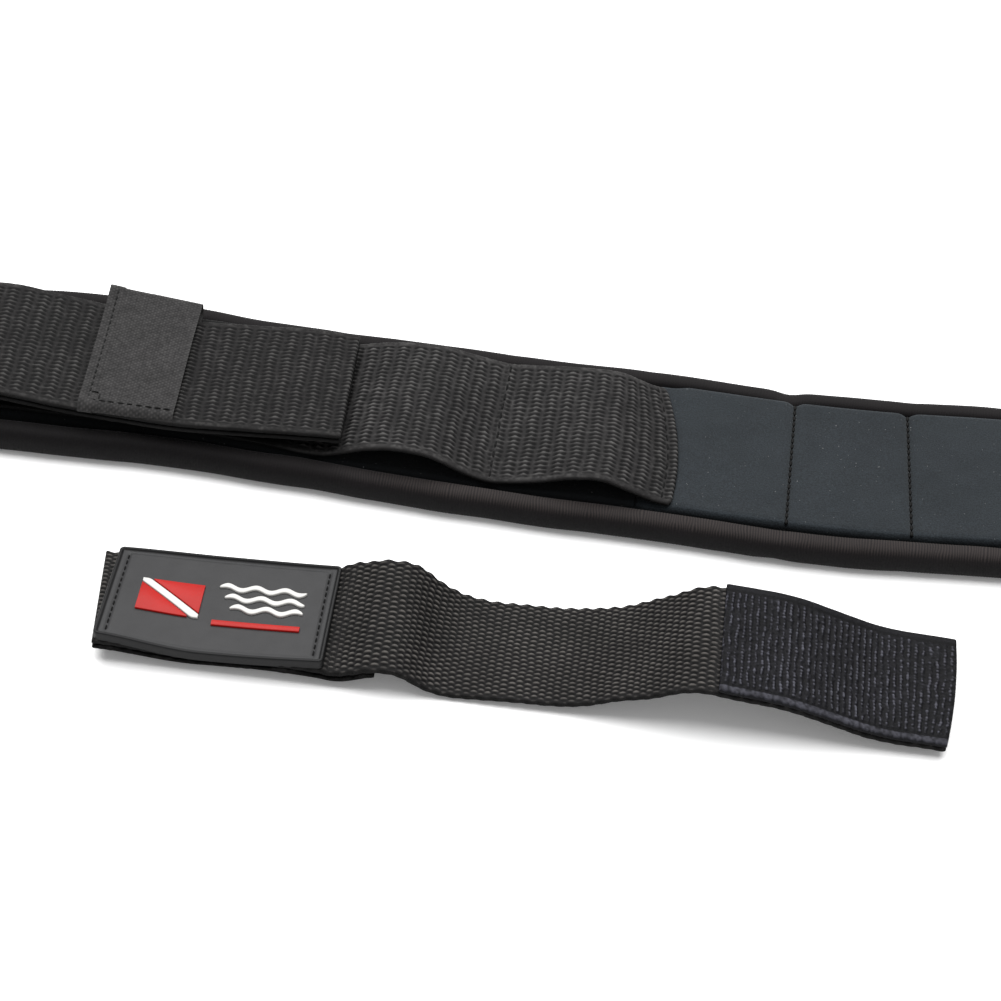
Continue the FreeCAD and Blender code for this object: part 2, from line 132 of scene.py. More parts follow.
def offset(path, by):
    """A side view path moved off to its upper side."""
    angle = np.arctan2(np.gradient(path[:, 1]), np.gradient(path[:, 0]))
    return path + by * np.column_stack([-np.sin(angle), np.cos(angle)])


def step_up(up, run):
    """Two arcs that climb and level out again."""
    turn = 2 * math.atan2(up, run)
    length = abs(run / 2 / math.sin(turn) * turn) if turn else run / 2
    bend = math.degrees(turn)
    return [(length, bend), (length, -bend)]


def pad_centre(x):
    """How the pad's centre line wanders as it lies."""
    return through([(-246, 2), (-194, 4), (-145, 4), (-96, 2), (-60, .8), (0, .8), (35, .3),
                    (60, 1.2), (96, 4.7), (130, 6), (180, 5), (250, 1)], x)


# ---- meshes -----------------------------------------------------------------------------------
def mesh_object(name, points, quads, caps, relief, fab):
    """Closed mesh from points in millimetres, turned the right way out."""
    corner = [points[quads[:, k]] for k in range(4)]
    volume = (corner[0] * (np.cross(corner[1], corner[2]) + np.cross(corner[2], corner[3]))).sum()
    if volume < 0:
        quads = quads[:, ::-1]
        caps = [cap[::-1] for cap in caps]
    loops = np.concatenate([quads.ravel()] + [np.asarray(cap) for cap in caps]).astype(np.int32)
    sizes = np.array([4] * len(quads) + [len(cap) for cap in caps])
    starts = np.concatenate([[0], np.cumsum(sizes)[:-1]]).astype(np.int32)
    mesh = bpy.data.meshes.new(name)
    mesh.vertices.add(len(points))
    mesh.vertices.foreach_set("co", (points * MM).astype(np.float32).ravel())
    mesh.loops.add(len(loops))
    mesh.loops.foreach_set("vertex_index", loops)
    mesh.polygons.add(len(sizes))
    mesh.polygons.foreach_set("loop_start", starts)
    mesh.polygons.foreach_set("use_smooth", np.ones(len(sizes), bool))
    mesh.update(calc_edges=True)
    mesh.validate()
    mesh.set_sharp_from_angle(angle=math.radians(60))
    # relief: tone for the materials, the weave's height together with painted shade and painted light
    tone = mesh.attributes.new("relief", "FLOAT", "POINT")
    tone.data.foreach_set("value", np.asarray(relief, np.float32).ravel())
    place = mesh.attributes.new("fab", "FLOAT_VECTOR", "POINT")
    place.data.foreach_set("vector", np.asarray(fab, np.float32).ravel())
    made = bpy.data.objects.new(name, mesh)
    bpy.context.scene.collection.objects.link(made)
    return made


def ring_quads(rows, k, first=0):
    """Faces between neighbouring rings of k points."""
    i = np.arange(rows - 1)[:, None] * k
    j = np.arange(k)
    return np.stack([i + j, i + (j + 1) % k, i + k + (j + 1) % k, i + k + j], -1).reshape(-1, 4) + first


def ring_caps(rows, k, first=0):
    return [np.arange(k)[::-1] + first, (rows - 1) * k + np.arange(k) + first]


def loft(name, rings, relief=None, fab=None, closed=False):
    """Skin over a row of closed loops, capped at both ends unless it closes on itself."""
    n, k = rings.shape[:2]
    quads = ring_quads(n + 1 if closed else n, k) % (n * k)
    caps = [] if closed else ring_caps(n, k)
    if relief is None:
        relief = np.full((n, k), 0.6)
    if fab is None:
        fab = rings
    return mesh_object(name, rings.reshape(-1, 3), quads, caps, relief, fab)


def turned(points):
    """The closing strap is drawn parallel to the belt, then turned as it lies."""
    c, s = math.cos(math.radians(LOOSE_TURN)), math.sin(math.radians(LOOSE_TURN))
    x, y = points[..., 0] - LOOSE_PIVOT_X, points[..., 1] - LOOSE_Y
    return np.stack([LOOSE_PIVOT_X + x * c - y * s, LOOSE_Y + x * s + y * c, points[..., 2]], -1)


def level(x):
    """No tilt: mean lift and front-edge lift."""
    return np.zeros_like(x), np.zeros_like(x)


SCALLOP_PITCH = 4.1     # two bead columns of the closing strap, whose back edge is scalloped


def ribbon(name, path, weave, half=WEB_HALF, thick=WEB_T, depth=0.36, grid=0.33, under=1.5,
           span=(0, None), tilt=level, centre=np.zeros_like, skew=0.0, ends=(True, True),
           rumple=0.12, warp=None, place=None, seed=1, scallop=0.0):
    """Strap along the side view path of its underside, with its weave as real relief."""
    x, z = path[:, 0], path[:, 1]
    s = lengths(path)
    angle = np.unwrap(np.arctan2(np.gradient(z), np.gradient(x)))
    s0, s1 = span[0], s[-1] if span[1] is None else span[1]
    rows = np.linspace(s0, s1, int(round((s1 - s0) / grid)) + 1)
    X, Z, A = (np.interp(rows, s, v)[:, None] for v in (x, z, angle))
    r = thick / 2
    lip = np.array([0.5, 0.866, 1.0])
    tops = np.linspace(-half + r, half - r, int(round(2 * (half - r) / grid)) + 1)
    lows = np.linspace(half - r, -half + r, int(round(2 * (half - r) / under)) + 1)
    edge = half - r + r * lip
    t = np.concatenate([-edge[::-1], tops, edge, edge[1::-1], lows, -edge[:2]])
    swell = np.concatenate([[0, .5, .866], np.ones(len(tops)), [.866, .5, 0], [-.5, -.866],
                            -np.ones(len(lows)), [-.866, -.5]])
    S, T = np.broadcast_arrays(rows[:, None], t[None, :])
    high = weave(S, T + 0.9 * (swell < 0))
    rounding = np.ones(len(rows))
    for is_end, far in ((ends[0], rows - s0), (ends[1], s1 - rows)):
        if is_end:
            d = np.clip(far / r, 0, 1)
            rounding *= 0.35 + 0.65 * np.sqrt(1 - (1 - d)**2)
    out = swell * (r + depth * (high - 0.6) * (np.abs(swell) > .6)) * rounding[:, None]
    mean, front = tilt(X)
    height = r + out
    P = np.empty(S.shape + (3,))
    shift = 0 if warp is None else warp(X, T / half)
    P[..., 0] = X - np.sin(A) * height + skew * T / half + shift
    wavy_edge = rise(half - 3, half, np.abs(T)) * np.where(T > 0, 1, -0.25)
    P[..., 1] = centre(X) + T + scallop * np.cos(2 * np.pi * S / SCALLOP_PITCH) * wavy_edge
    P[..., 2] = Z + np.cos(A) * height + mean - front * T / half
    P[..., 2] += rumple * lumps(S, T, 9.0, seed) + rumple * 0.5 * lumps(S, T, 3.5, seed + 1)
    if place is not None:
        P = place(P)
    fab = np.stack([S, T, np.broadcast_to(np.sign(swell) * 3.0, S.shape)], -1)
    # tone: the weave's height, lower on the edges and the underside: painted shade in the holes and under the
    # strap
    return loft(name, P, high * (0.30 + 0.70 * rise(-0.2, 0.9, swell)), fab)


# ---- weaves: height from 0 in a hole to 1 on a crest, over length and width -------------------
def edge_fade(t, half, width=1.6):
    """1 on the plain edges of a webbing, 0 on its patterned middle."""
    return rise(half - width - 1.0, half - width + 0.2, np.abs(t))


def belt_weave(s, t, half=WEB_HALF):
    """Cross bars with short bowed ridges between them, and holes beside the bars."""
    column, row = 4.7, 1.75
    s2 = s + 0.36 * lumps(s, t, 5.0, 11) + 0.16 * lumps(s, t, 1.4, 12)
    t2 = t + 0.20 * lumps(s, t, 4.0, 13) + 0.10 * lumps(s, t, 1.1, 14)
    f = (s2 / column) % 1.0
    bow = 0.42 * (1 - np.abs(2 * f - 1))
    beads = 0.5 + 0.5 * np.cos(2 * np.pi * (t2 / row - bow))
    gaps = 0.5 + 0.5 * np.cos(2 * np.pi * (t2 / row + 0.50 - bow))
    flank = np.exp(-(((f - 0.24) / 0.12) ** 2)) + np.exp(-(((f - 0.76) / 0.12) ** 2))
    middle = np.exp(-(((f - 0.5) / 0.19) ** 2))
    h = 0.56 + middle * (0.42 * beads - 0.40 * (1 - beads)) + flank * (0.10 * beads - 0.95 * gaps)
    h = h + 0.11 * lumps(s, t, 1.7, 17) + 0.09 * lumps(s, t, 0.55, 18)
    fuzz = 0.58 + 0.14 * lumps(s, t, 0.7, 15) + 0.08 * lumps(s, t, 2.0, 16)
    fade = edge_fade(t, half)
    return np.clip(h * (1 - fade) + fuzz * fade, 0, 1)


def strap_weave(s, t, half=LOOSE_HALF):
    """Columns of short bowed beads, every other column half a bead across."""
    column, row, reach, thick = 2.05, 1.7, 1.35, 0.64
    s2 = s + 0.35 * lumps(s, t, 6.0, 21) + 0.12 * lumps(s, t, 1.6, 25)
    t2 = t + 0.14 * lumps(s, t, 5.0, 22) + 0.06 * lumps(s, t, 1.2, 26)
    h = np.zeros_like(t2)
    for step in (-1, 0, 1):
        k = np.floor(s2 / column) + step
        along = (s2 - (k + 0.5) * column) / reach
        place = (t2 - row / 2 * (k % 2) + 0.46 * along**2) / row
        across = (place - np.round(place)) * row / thick
        bead = np.sqrt(np.clip(1 - across**2, 0, 1)) * np.clip(1 - along**2, 0, 1) ** 0.4
        h = np.maximum(h, bead)
    h = 1.02 * h**2.0 + 0.08 * lumps(s, t, 0.7, 23)
    fade = edge_fade(t, half, 0.9) * 0.6
    fuzz = 0.5 + 0.2 * lumps(s, t, 0.8, 24)
    return np.clip(h * (1 - fade) + fuzz * fade, 0, 1)


def cloth_weave(s, t):
    """Small raised threads in staggered rows."""
    row = np.floor(t / 0.85)
    along = 0.5 + 0.5 * np.cos(2 * np.pi * (s / 1.25 + 0.5 * (row % 2)))
    across = np.sin(np.pi * (t / 0.85 - row))
    return np.clip(0.30 + 0.40 * along * across + 0.16 * lumps(s, t, 0.7, 31), 0, 1)


def hook_weave(s, t, half=LOOSE_HALF):
    """Cross ribs of hooks between flat selvedges."""
    pitch, margin = 1.8, 2.6
    s2 = s + 0.22 * lumps(t, s, 4.0, 41) + 0.14 * lumps(t, s, 1.1, 42)
    off = (s2 / pitch + 0.5) % 1.0 - 0.5
    dots = 0.80 + 0.20 * np.cos(2 * np.pi * (t / 1.07 + 0.5 * np.floor(s2 / pitch + .5)))
    rib = np.exp(-((off * pitch / 0.50) ** 2)) * dots * (0.92 + 0.6 * lumps(s, t, 0.6, 43))
    h = np.maximum(rib, 0.16 + 0.5 * lumps(s, t, 0.55, 44))
    inside = half - margin - np.abs(t)
    trench = np.exp(-((inside / 0.45) ** 2))
    fade = 1 - rise(-0.4, 0.5, inside)
    flat = np.where(t < 0, 0.72, 0.40) + 0.16 * lumps(s, t, 0.6, 45)
    h = h * (1 - fade) + flat * fade
    return np.clip(h * (1 - 0.9 * trench), 0, 1)


def loop_weave(s, t):
    """Tangled pile."""
    return np.clip(0.5 + 0.35 * lumps(s, t, 0.8, 51) + 0.3 * lumps(s, t, 1.9, 52), 0, 1)


# ---- materials --------------------------------------------------------------------------------
def colour(code):
    parts = [int(code[k:k + 2], 16) / 255 for k in (0, 2, 4)]
    return tuple(c / 12.92 if c <= 0.04045 else ((c + 0.055) / 1.055) ** 2.4 for c in parts) + (1.0,)


class Finish:
    """A principled material and short ways to add nodes to it."""

    def __init__(self, name, **sockets):
        self.made = bpy.data.materials.new(name)
        self.made.use_nodes = True
        self.tree = self.made.node_tree
        self.tree.nodes.clear()
        self.shader = self.add("ShaderNodeBsdfPrincipled")
        out = self.add("ShaderNodeOutputMaterial")
        self.tree.links.new(self.shader.outputs[0], out.inputs[0])
        for key, value in sockets.items():
            self.shader.inputs[key.replace("_", " ")].default_value = value

    def add(self, kind, values=(), **settings):
        node = self.tree.nodes.new(kind)
        for key, value in settings.items():
            setattr(node, key, value)
        for key, value in dict(values).items():
            if isinstance(value, bpy.types.NodeSocket):
                self.tree.links.new(value, node.inputs[key])
            else:
                node.inputs[key].default_value = value
        return node

    def attribute(self, name, output):
        return self.add("ShaderNodeAttribute", attribute_name=name).outputs[output]

    def noise(self, vector, size, detail=3.0, rough=0.55):
        return self.add("ShaderNodeTexNoise", {"Vector": vector, "Scale": 1.0 / size, "Detail": detail,
                                               "Roughness": rough}).outputs["Fac"]

    def ramp(self, fac, low, high, to_low=0.0, to_high=1.0):
        return self.add("ShaderNodeMapRange", {"Value": fac, "From Min": low, "From Max": high,
                                               "To Min": to_low, "To Max": to_high}).outputs[0]

    def mix(self, fac, a, b, kind="MIX"):
        node = self.add("ShaderNodeMix", data_type="RGBA", blend_type=kind)
        for index, value in ((0, fac), (6, a), (7, b)):
            if isinstance(value, bpy.types.NodeSocket):
                self.tree.links.new(value, node.inputs[index])
            else:
                node.inputs[index].default_value = value
        return node.outputs[2]

    def maths(self, kind, a, b):
        return self.add("ShaderNodeMath", {0: a, 1: b}, operation=kind).outputs[0]

    def plug(self, key, socket):
        self.tree.links.new(socket, self.shader.inputs[key])

    def bump(self, height, distance, strength=1.0):
        node = self.add("ShaderNodeBump", {"Height": height, "Distance": distance, "Strength": strength})
        self.plug("Normal", node.outputs[0])


def fabric(name, hole, body, crest, rough=0.7, grain=0.18, reach=0.25, bump=0.00008, patch=0.22, speck=0.0,
           sheen=0.0, shine=0.12, speck_colour="8a8a8a"):
    """Cloth whose tone follows its relief attribute, with fibre grain, patches of wear and lint: low relief
    takes the hole colour, painted shade in holes and on shaded sides, and high relief takes the crest colour,
    painted light on crests and lit tops.
    """
    f = Finish(name, Roughness=rough, Sheen_Weight=sheen, Sheen_Roughness=0.5)
    f.shader.inputs["Specular IOR Level"].default_value = shine
    relief = f.attribute("relief", "Fac")
    fab = f.attribute("fab", "Vector")
    # painted shade and light: low relief is drawn in the hole colour, high relief in the crest colour
    low = f.mix(f.ramp(relief, 0.05, 0.55), colour(hole), colour(body))
    tone = f.mix(f.ramp(relief, 0.55, 1.0), low, colour(crest))
    fibre = f.noise(fab, grain, 2.0, 0.7)
    wide = f.noise(fab, 14.0, 3.0)
    tone = f.mix(1.0, tone, f.ramp(fibre, 0.5 - reach, 0.5 + reach, 0.62, 1.38), "MULTIPLY")
    tone = f.mix(1.0, tone, f.ramp(wide, 0.3, 0.7, 1 - patch, 1 + patch), "MULTIPLY")
    if speck:
        dust = f.ramp(f.noise(fab, 0.55, 1.0, 0.4), 0.775, 0.80)
        tone = f.mix(f.maths("MULTIPLY", dust, speck), tone, colour(speck_colour))
    f.plug("Base Color", tone)
    f.plug("Roughness", f.ramp(fibre, 0.3, 0.7, rough - 0.08, min(1.0, rough + 0.1)))
    f.bump(fibre, bump)
    return f.made


def solid_finish(name, base, rough, size, bump, shade=0.08, edge=None):
    """Moulded surface with fine texture and slight unevenness; with an edge colour, low relief is drawn in it
    as painted shade.
    """
    f = Finish(name, Roughness=rough)
    f.shader.inputs["Specular IOR Level"].default_value = 0.22
    fab = f.attribute("fab", "Vector")
    fine = f.noise(fab, size, 3.0)
    wide = f.noise(fab, size * 30, 3.0)
    tone = f.mix(1.0, colour(base), f.ramp(wide, 0.3, 0.7, 1 - shade, 1 + shade), "MULTIPLY")
    # painted shade: low relief takes the edge colour
    if edge:
        tone = f.mix(f.ramp(f.attribute("relief", "Fac"), 0.1, 0.6), colour(edge), tone)
    tone = f.mix(1.0, tone, f.ramp(fine, 0.3, 0.7, 1 - shade, 1 + shade), "MULTIPLY")
    f.plug("Base Color", tone)
    f.plug("Roughness", f.ramp(fine, 0.3, 0.7, max(0.05, rough - 0.08), rough + 0.1))
    f.bump(fine, bump)
    return f.made


def steel_finish():
    """Brushed stainless steel, lines along the belt's width."""
    f = Finish("brushed_steel", Metallic=1.0, Roughness=0.3)
    place = f.add("ShaderNodeTexCoord").outputs["Object"]
    lines = f.add("ShaderNodeVectorMath", {0: place, 1: (9000.0, 160.0, 9000.0)}, operation="MULTIPLY")
    fine = f.noise(lines.outputs[0], 1.0, 3.0)
    wide = f.noise(place, 0.012, 3.0)
    f.plug("Base Color", f.mix(f.ramp(wide, 0.3, 0.7), colour("b9bcbf"), colour("d5d7d8")))
    f.plug("Roughness", f.ramp(fine, 0.3, 0.7, 0.22, 0.42))
    f.bump(fine, 0.00002)
    return f.made


# each fabric's colours are hole, body and crest: the hole colour is painted shade in holes and on shaded
# sides, the crest colour painted light on crests
webbing_mat = fabric("belt_webbing", "030303", "232222", "4f4e4d", rough=0.66, grain=0.16)
# the belt webbing made darker for the buckle strap: painted shade
shaded_buckle_web_mat = fabric("shaded_buckle_webbing", "020202", "1a1919", "444342", rough=0.66, grain=0.16)
strap_mat = fabric("strap_webbing", "020202", "181717", "55524f", rough=0.66, grain=0.16)
neoprene_mat = fabric("knit_neoprene", "0c0e10", "1c2023", "272c30", rough=0.8, grain=0.42, reach=0.14,
                      bump=0.00016, patch=0.10, speck=0.6, sheen=0.08)
back_mat = fabric("back_neoprene", "141414", "222324", "2c2d2e", rough=0.8, grain=0.3, patch=0.10)
binding_mat = fabric("knit_binding", "030203", "151213", "3a3432", rough=0.7, grain=0.22,
                     patch=0.15, sheen=0.05)
keeper_mat = fabric("keeper_cloth", "171717", "353434", "504f4e", rough=0.75, grain=0.2, patch=0.10)
thread_mat = fabric("sewing_thread", "030303", "060606", "101010", rough=0.55, grain=0.12)
faded_mat = fabric("keeper_thread", "0c0c0c", "161616", "232323", rough=0.6, grain=0.12)
hook_mat = fabric("hook_tape", "040406", "121216", "4a4a52", rough=0.6, grain=0.2, bump=0.0001)
loop_mat = fabric("loop_pile", "040404", "0e0d0d", "222121", rough=0.85, grain=0.15, bump=0.00015)
# the edge colour 0b0b0c is painted shade on the badge's sides, and the rim takes it too
rubber_mat = solid_finish("badge_rubber", "2c2c2d", 0.5, 0.18, 0.00004, 0.10, edge="0b0b0c")
red_mat = solid_finish("emblem_red", "a01008", 0.45, 0.25, 0.00003, 0.06)
white_mat = solid_finish("emblem_white", "c6c5c2", 0.45, 0.25, 0.00003, 0.04)
steel_mat = steel_finish()


def dress(piece, material, body=None, stands_for=(), blend=None):
    piece.data.materials.append(material)
    if blend:
        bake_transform(piece)
    else:
        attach(piece, body)
    if stands_for:
        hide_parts(*stands_for)
    return piece


FLEX = ("pad", "right_wing", ((FLEX_X - 9) * MM, 0, 0), ((FLEX_X + 9) * MM, 0, 0))
FOLD = ("closing_strap", "closing_strap_end", ((FOLD_X - 5.5) * MM, LOOSE_Y * MM, 0),
        ((FOLD_X + 5.5) * MM, LOOSE_Y * MM, 0))


# ---- threads ----------------------------------------------------------------------------------
def stitch_rows(name, runs, radius=0.28, length=2.9, gap=1.1, sunk=0.12, bow=0.28):
    """Short threads laid end to end along runs of surface points, as one mesh."""
    sides, steps = 8, 7
    turn = np.linspace(0, 2 * np.pi, sides, endpoint=False)
    u = np.linspace(0, 1, steps)
    points, quads, caps, fabs = [], [], [], []
    count = 0
    rng = np.random.default_rng(len(name))
    for run in runs:
        run = np.array(run, float)
        far = lengths(run)
        number = max(1, int(far[-1] // (length + gap)))
        pitch = far[-1] / number
        for k in range(number):
            a = k * pitch + gap / 2 + rng.uniform(-0.12, 0.12)
            at = a + u * (pitch - gap)
            line = np.stack([np.interp(at, far, run[:, c]) for c in range(3)], 1)
            line[:, 2] += bow * np.sin(np.pi * u) - sunk
            along = np.gradient(line, axis=0)
            along /= np.linalg.norm(along, axis=1)[:, None]
            side = np.cross(along, (0, 0, 1))
            side /= np.linalg.norm(side, axis=1)[:, None]
            up = np.cross(side, along)
            fat = radius * np.sqrt(np.clip(1 - (2 * u - 1) ** 6, 0.12, 1))
            ring = line[:, None] + fat[:, None, None] * (
                side[:, None] * np.cos(turn)[None, :, None] + up[:, None] * np.sin(turn)[None, :, None])
            quads.append(ring_quads(steps, sides, count))
            caps += ring_caps(steps, sides, count)
            points.append(ring.reshape(-1, 3))
            fabs.append(ring.reshape(-1, 3))
            count += steps * sides
    points = np.concatenate(points)
    return mesh_object(name, points, np.concatenate(quads), caps, np.full(len(points), 0.7),
                       np.concatenate(fabs))


# ---- the pad ----------------------------------------------------------------------------------
def seam_lean(x):
    """How far a seam leans along the belt for each millimetre across it."""
    return np.interp(x, [CHANNEL, 2 * CHANNEL, FLEX_X], [-0.008, -0.055, 0.0])


def panel_top(x, y, a, b):
    """Height of the front neoprene in the channel from a to b; y is from the pad's centre line."""
    crest = 8.7 if a >= POCKET_SEAM_X else 8.0
    roll = 3.4 if a >= POCKET_SEAM_X else 5.5
    near = np.minimum(x - a, b - x)
    across = PANEL_HALF - np.abs(y)
    puff = np.sqrt(1 - (1 - np.clip(near / roll, 0, 1)) ** 2.4)
    edge = np.sqrt(1 - (1 - np.clip(across / 2.2, 0, 1)) ** 2.2)
    z = 5.4 + (SEAM_Z - 5.4) * edge + (crest - SEAM_Z) * puff * edge
    if a == POCKET_SEAM_X:
        z = z - 1.0 * (1 - rise(-2.5, 3.5, x))
    soft = rise(0, 6, near) * rise(0, 6, across)
    return z + soft * (0.30 * lumps(x, y, 14.0, 61) + 0.14 * lumps(x, y, 5.0, 62))


def panel_half_at(x, side):
    """Half width of the front panel, pulled in where a seam meets its edge."""
    pull = sum(np.exp(-(((x - seam) / 2.0) ** 2)) for seam in SEAMS)
    return PANEL_HIGH - 1.0 * pull if side > 0 else PANEL_LOW - 0.7 * pull


def channel(index, a, b):
    """One sewn channel of the front neoprene, with its rolled edges."""
    grid = 0.6 if a >= POCKET_SEAM_X and b < 110 else 1.0
    xs = np.linspace(a, b, int((b - a) / grid) + 1)
    xs = np.concatenate([[a, a + .15, a + .35], xs[1:-1], [b - .35, b - .15, b]])
    across = np.linspace(-1, 1, int(2 * PANEL_HALF / grid) + 1)
    across = np.sign(across) * (1 - (1 - np.abs(across)) ** 1.25)
    X, U = np.meshgrid(xs, across, indexing="ij")
    half = np.where(U > 0, panel_half_at(X, 1), panel_half_at(X, -1))
    Y = U * half
    top = panel_top(X, Y / half * PANEL_HALF, a, b)
    back = across[::-8]
    Yb = np.where(back > 0, back * panel_half_at(xs, 1)[:, None], back * panel_half_at(xs, -1)[:, None])
    Xb = np.broadcast_to(xs[:, None], Yb.shape)
    inset = half - np.abs(Y)
    welt = np.exp(-(((inset - 0.8) / 0.45) ** 2))
    top = top + 0.25 * welt
    # painted light and shade: lighter on the puffed crests and along the welt, darker where the channel lies
    # under the pocket webbing
    shade = (0.35 + 0.4 * rise(5.5, 8.2, top) + 0.6 * welt) * (0.05 + 0.95 * rise(-13, -7, X))
    tone = np.concatenate([shade, np.full_like(Yb, 0.4)], 1)
    loop_x = np.concatenate([X, Xb], 1)
    loop_y = np.concatenate([Y, Yb], 1)
    loop_z = np.concatenate([top, np.full_like(Yb, 2.6)], 1)
    rings = np.stack([loop_x + seam_lean(loop_x) * loop_y, loop_y + pad_centre(loop_x), loop_z], -1)
    piece = loft(f"front_channel_{index:02d}", rings, tone, np.stack([loop_x, loop_y, loop_z], -1))
    stands = {1: ["front_panel", "shot_pouches"], 10: ["wing_front_panel", "wing_shot_pouches"]}
    if index in (9, 10):
        dress(piece, neoprene_mat, blend=FLEX, stands_for=stands.get(index, ()))
    else:
        dress(piece, neoprene_mat, "pad" if b < FLEX_X else "right_wing",
              stands.get(index, ()))


def spans():
    """The pad's length in parts: one that rides, one that bends, one on the wing."""
    yield "pad", PAD_ENDS[0], BEND_FROM, "pad", None
    yield "flex", BEND_FROM, BEND_TO, None, FLEX
    yield "wing", BEND_TO, PAD_ENDS[1], "right_wing", None


def back_panel():
    for label, x0, x1, body, blend in spans():
        x0, x1 = max(x0, LEFT_X - 1), min(x1, RIGHT_X + 1)
        xs = np.linspace(x0, x1, int((x1 - x0) / 1.6) + 1)
        ts = np.linspace(-1, 1, 34)
        X, U = np.meshgrid(xs, ts, indexing="ij")
        near = np.abs(X[..., None] - np.array(SEAMS)).min(-1)
        dent = 0.5 * np.exp(-((near / 1.6) ** 2)) + 0.6 * rise(0.9, 1.0, np.abs(U))
        under = 0.15 + dent
        top = np.full_like(X, 2.6)
        Y = U * (PANEL_HALF + 1.2)
        loop_x = np.concatenate([X, X[:, ::-1]], 1)
        loop_y = np.concatenate([Y, Y[:, ::-1]], 1)
        loop_z = np.concatenate([top, under[:, ::-1]], 1)
        rings = np.stack([loop_x, loop_y + pad_centre(loop_x), loop_z], -1)
        # painted shade: the underside is darker in the dents at the seams and along the edges
        tone = np.concatenate([np.full_like(X, .5), 0.75 - dent[:, ::-1]], 1)
        piece = loft(f"back_neoprene_{label}", rings, tone, np.stack([loop_x, loop_y, loop_z], -1))
        stands = {"pad": ["back_panel"], "wing": ["wing_back_panel"]}.get(label, ())
        dress(piece, back_mat, body, stands, blend)


# how far each long edge is drawn in, where the pad is squeezed under the webbing
UPPER_INWARD = [(-250, 3.4), (-206, 3.0), (-190, 1.4), (-165, 0.3), (-145, 1.0), (-130, 2.1), (-115, 2.1),
                (-100, 1.7), (-85, 1.0), (-40, 0.3), (0, 0.1), (34, .1), (60, 0), (250, 0)]
LOWER_INWARD = [(-250, -.7), (-206, -.7), (-193, -1.4), (-180, -1.2), (-150, .2), (-96, .7),
                (-60, .1), (250, 0)]


def binding_section(x, side):
    """Loop of the stuffed knit binding: full towards the outside, tucked in at the panel."""
    turn = np.linspace(0, 2 * np.pi, 44, endpoint=False)
    power = 2 / 2.35
    cy = np.sign(np.cos(turn)) * np.abs(np.cos(turn)) ** power
    cz = np.sign(np.sin(turn)) * np.abs(np.sin(turn)) ** power
    notch = 0.12 * sum(np.exp(-(((x - seam) / 3.2) ** 2)) for seam in SEAMS)
    notch = notch + 1.1 * np.exp(-(((x - CHANNEL + 2.5) / 4.0) ** 2))
    uneven = 0.1 * lumps(x, 0 * x, 9.0, 73)
    if side > 0:
        middle = 29.2 - 0.9 * notch - through(UPPER_INWARD, x)
        half_y, half_z, height = 3.4 + uneven, 3.7 - 0.35 * notch, 4.1
    else:
        middle = 32.2 - 0.2 * notch - through(LOWER_INWARD, x)
        half_y, half_z, height = 3.75 + uneven, 4.3 - 0.35 * notch, 4.4
    middle = middle + 0.3 * lumps(x, 0 * x, 17.0, 71 + side)
    half_z = half_z + 0.15 * lumps(x, 0 * x, 12.0, 75)
    X = np.broadcast_to(x[:, None], (len(x), len(turn)))
    rib = 0.5 + 0.5 * np.cos(2 * np.pi * (X + 0.35 * lumps(X, 3 * turn + 0 * X, 2.5, 77)) / 0.78)
    grow = 0.07 * (rib - 0.5)
    Y = side * (middle[:, None] + (half_y[:, None] + grow) * cy)
    Z = height + (half_z[:, None] + grow) * cz
    return X, Y, np.maximum(Z, 0.0), rib


def bindings():
    for side, word in ((1, "upper"), (-1, "lower")):
        for label, x0, x1, body, blend in spans():
            pitch = 0.26 if label == "wing" else 0.2
            xs = np.linspace(x0, x1, int((x1 - x0) / pitch) + 1)
            X, Y, Z, rib = binding_section(xs, side)
            first, last = PAD_ENDS
            ends = np.minimum(rise(first - .1, first + 5, X), 1 - rise(last - 5, last + .1, X))
            Y = Y - side * 2.6 * (1 - ends) * (Y * side > 30)
            rings = np.stack([X, Y + pad_centre(X), Z], -1)
            # tone scale: the upper binding at 0.55, the lower binding darker towards its left end
            tone_scale = 0.55 if side > 0 else 0.1 + 0.9 * rise(-150, -60, X)
            # painted light: the binding's upper part is lighter, and its lower side darker as painted shade
            tone = 0.10 + (0.45 + 0.28 * rib) * tone_scale * rise(4.5, 8.6, Z)
            piece = loft(f"{word}_binding_{label}", rings, tone, np.stack([X, Y, Z], -1))
            stands = {"pad": [f"{word}_binding"], "wing": [f"wing_{word}_binding"]}.get(label, ())
            dress(piece, binding_mat, body, stands, blend)
    for side, node, body in ((-1, "left_end_binding", "pad"), (1, "right_end_binding", "right_wing")):
        ys = np.linspace(-32.4, 29.6, 311)
        _, reach, Z, rib = binding_section(ys + 60.0, 1)
        base = RIGHT_X if side > 0 else LEFT_X
        Y = np.broadcast_to(ys[:, None], reach.shape)
        X = base + side * (reach - 25.8 - 2.2 * (np.abs(Y + 1.4) / 31.0) ** 6)
        rings = np.stack([X, Y + pad_centre(np.full_like(X, base)), Z], -1)
        # painted light: the upper part is lighter, and the lower side darker as painted shade
        tone = 0.10 + (0.25 + 0.15 * rib) * rise(4.5, 8.6, Z)
        piece = loft(node + "_knit", rings, tone, np.stack([X, Y, Z], -1))
        dress(piece, binding_mat, body, [node])


def seam_run(x):
    """Points down a quilting seam, in its valley."""
    ys = np.linspace(PANEL_HIGH - 1.2, -PANEL_LOW + 0.6, 60)
    xs = x + seam_lean(np.full_like(ys, x)) * ys
    return np.stack([xs, ys + pad_centre(xs), np.full_like(ys, SEAM_Z + 0.45)], 1)


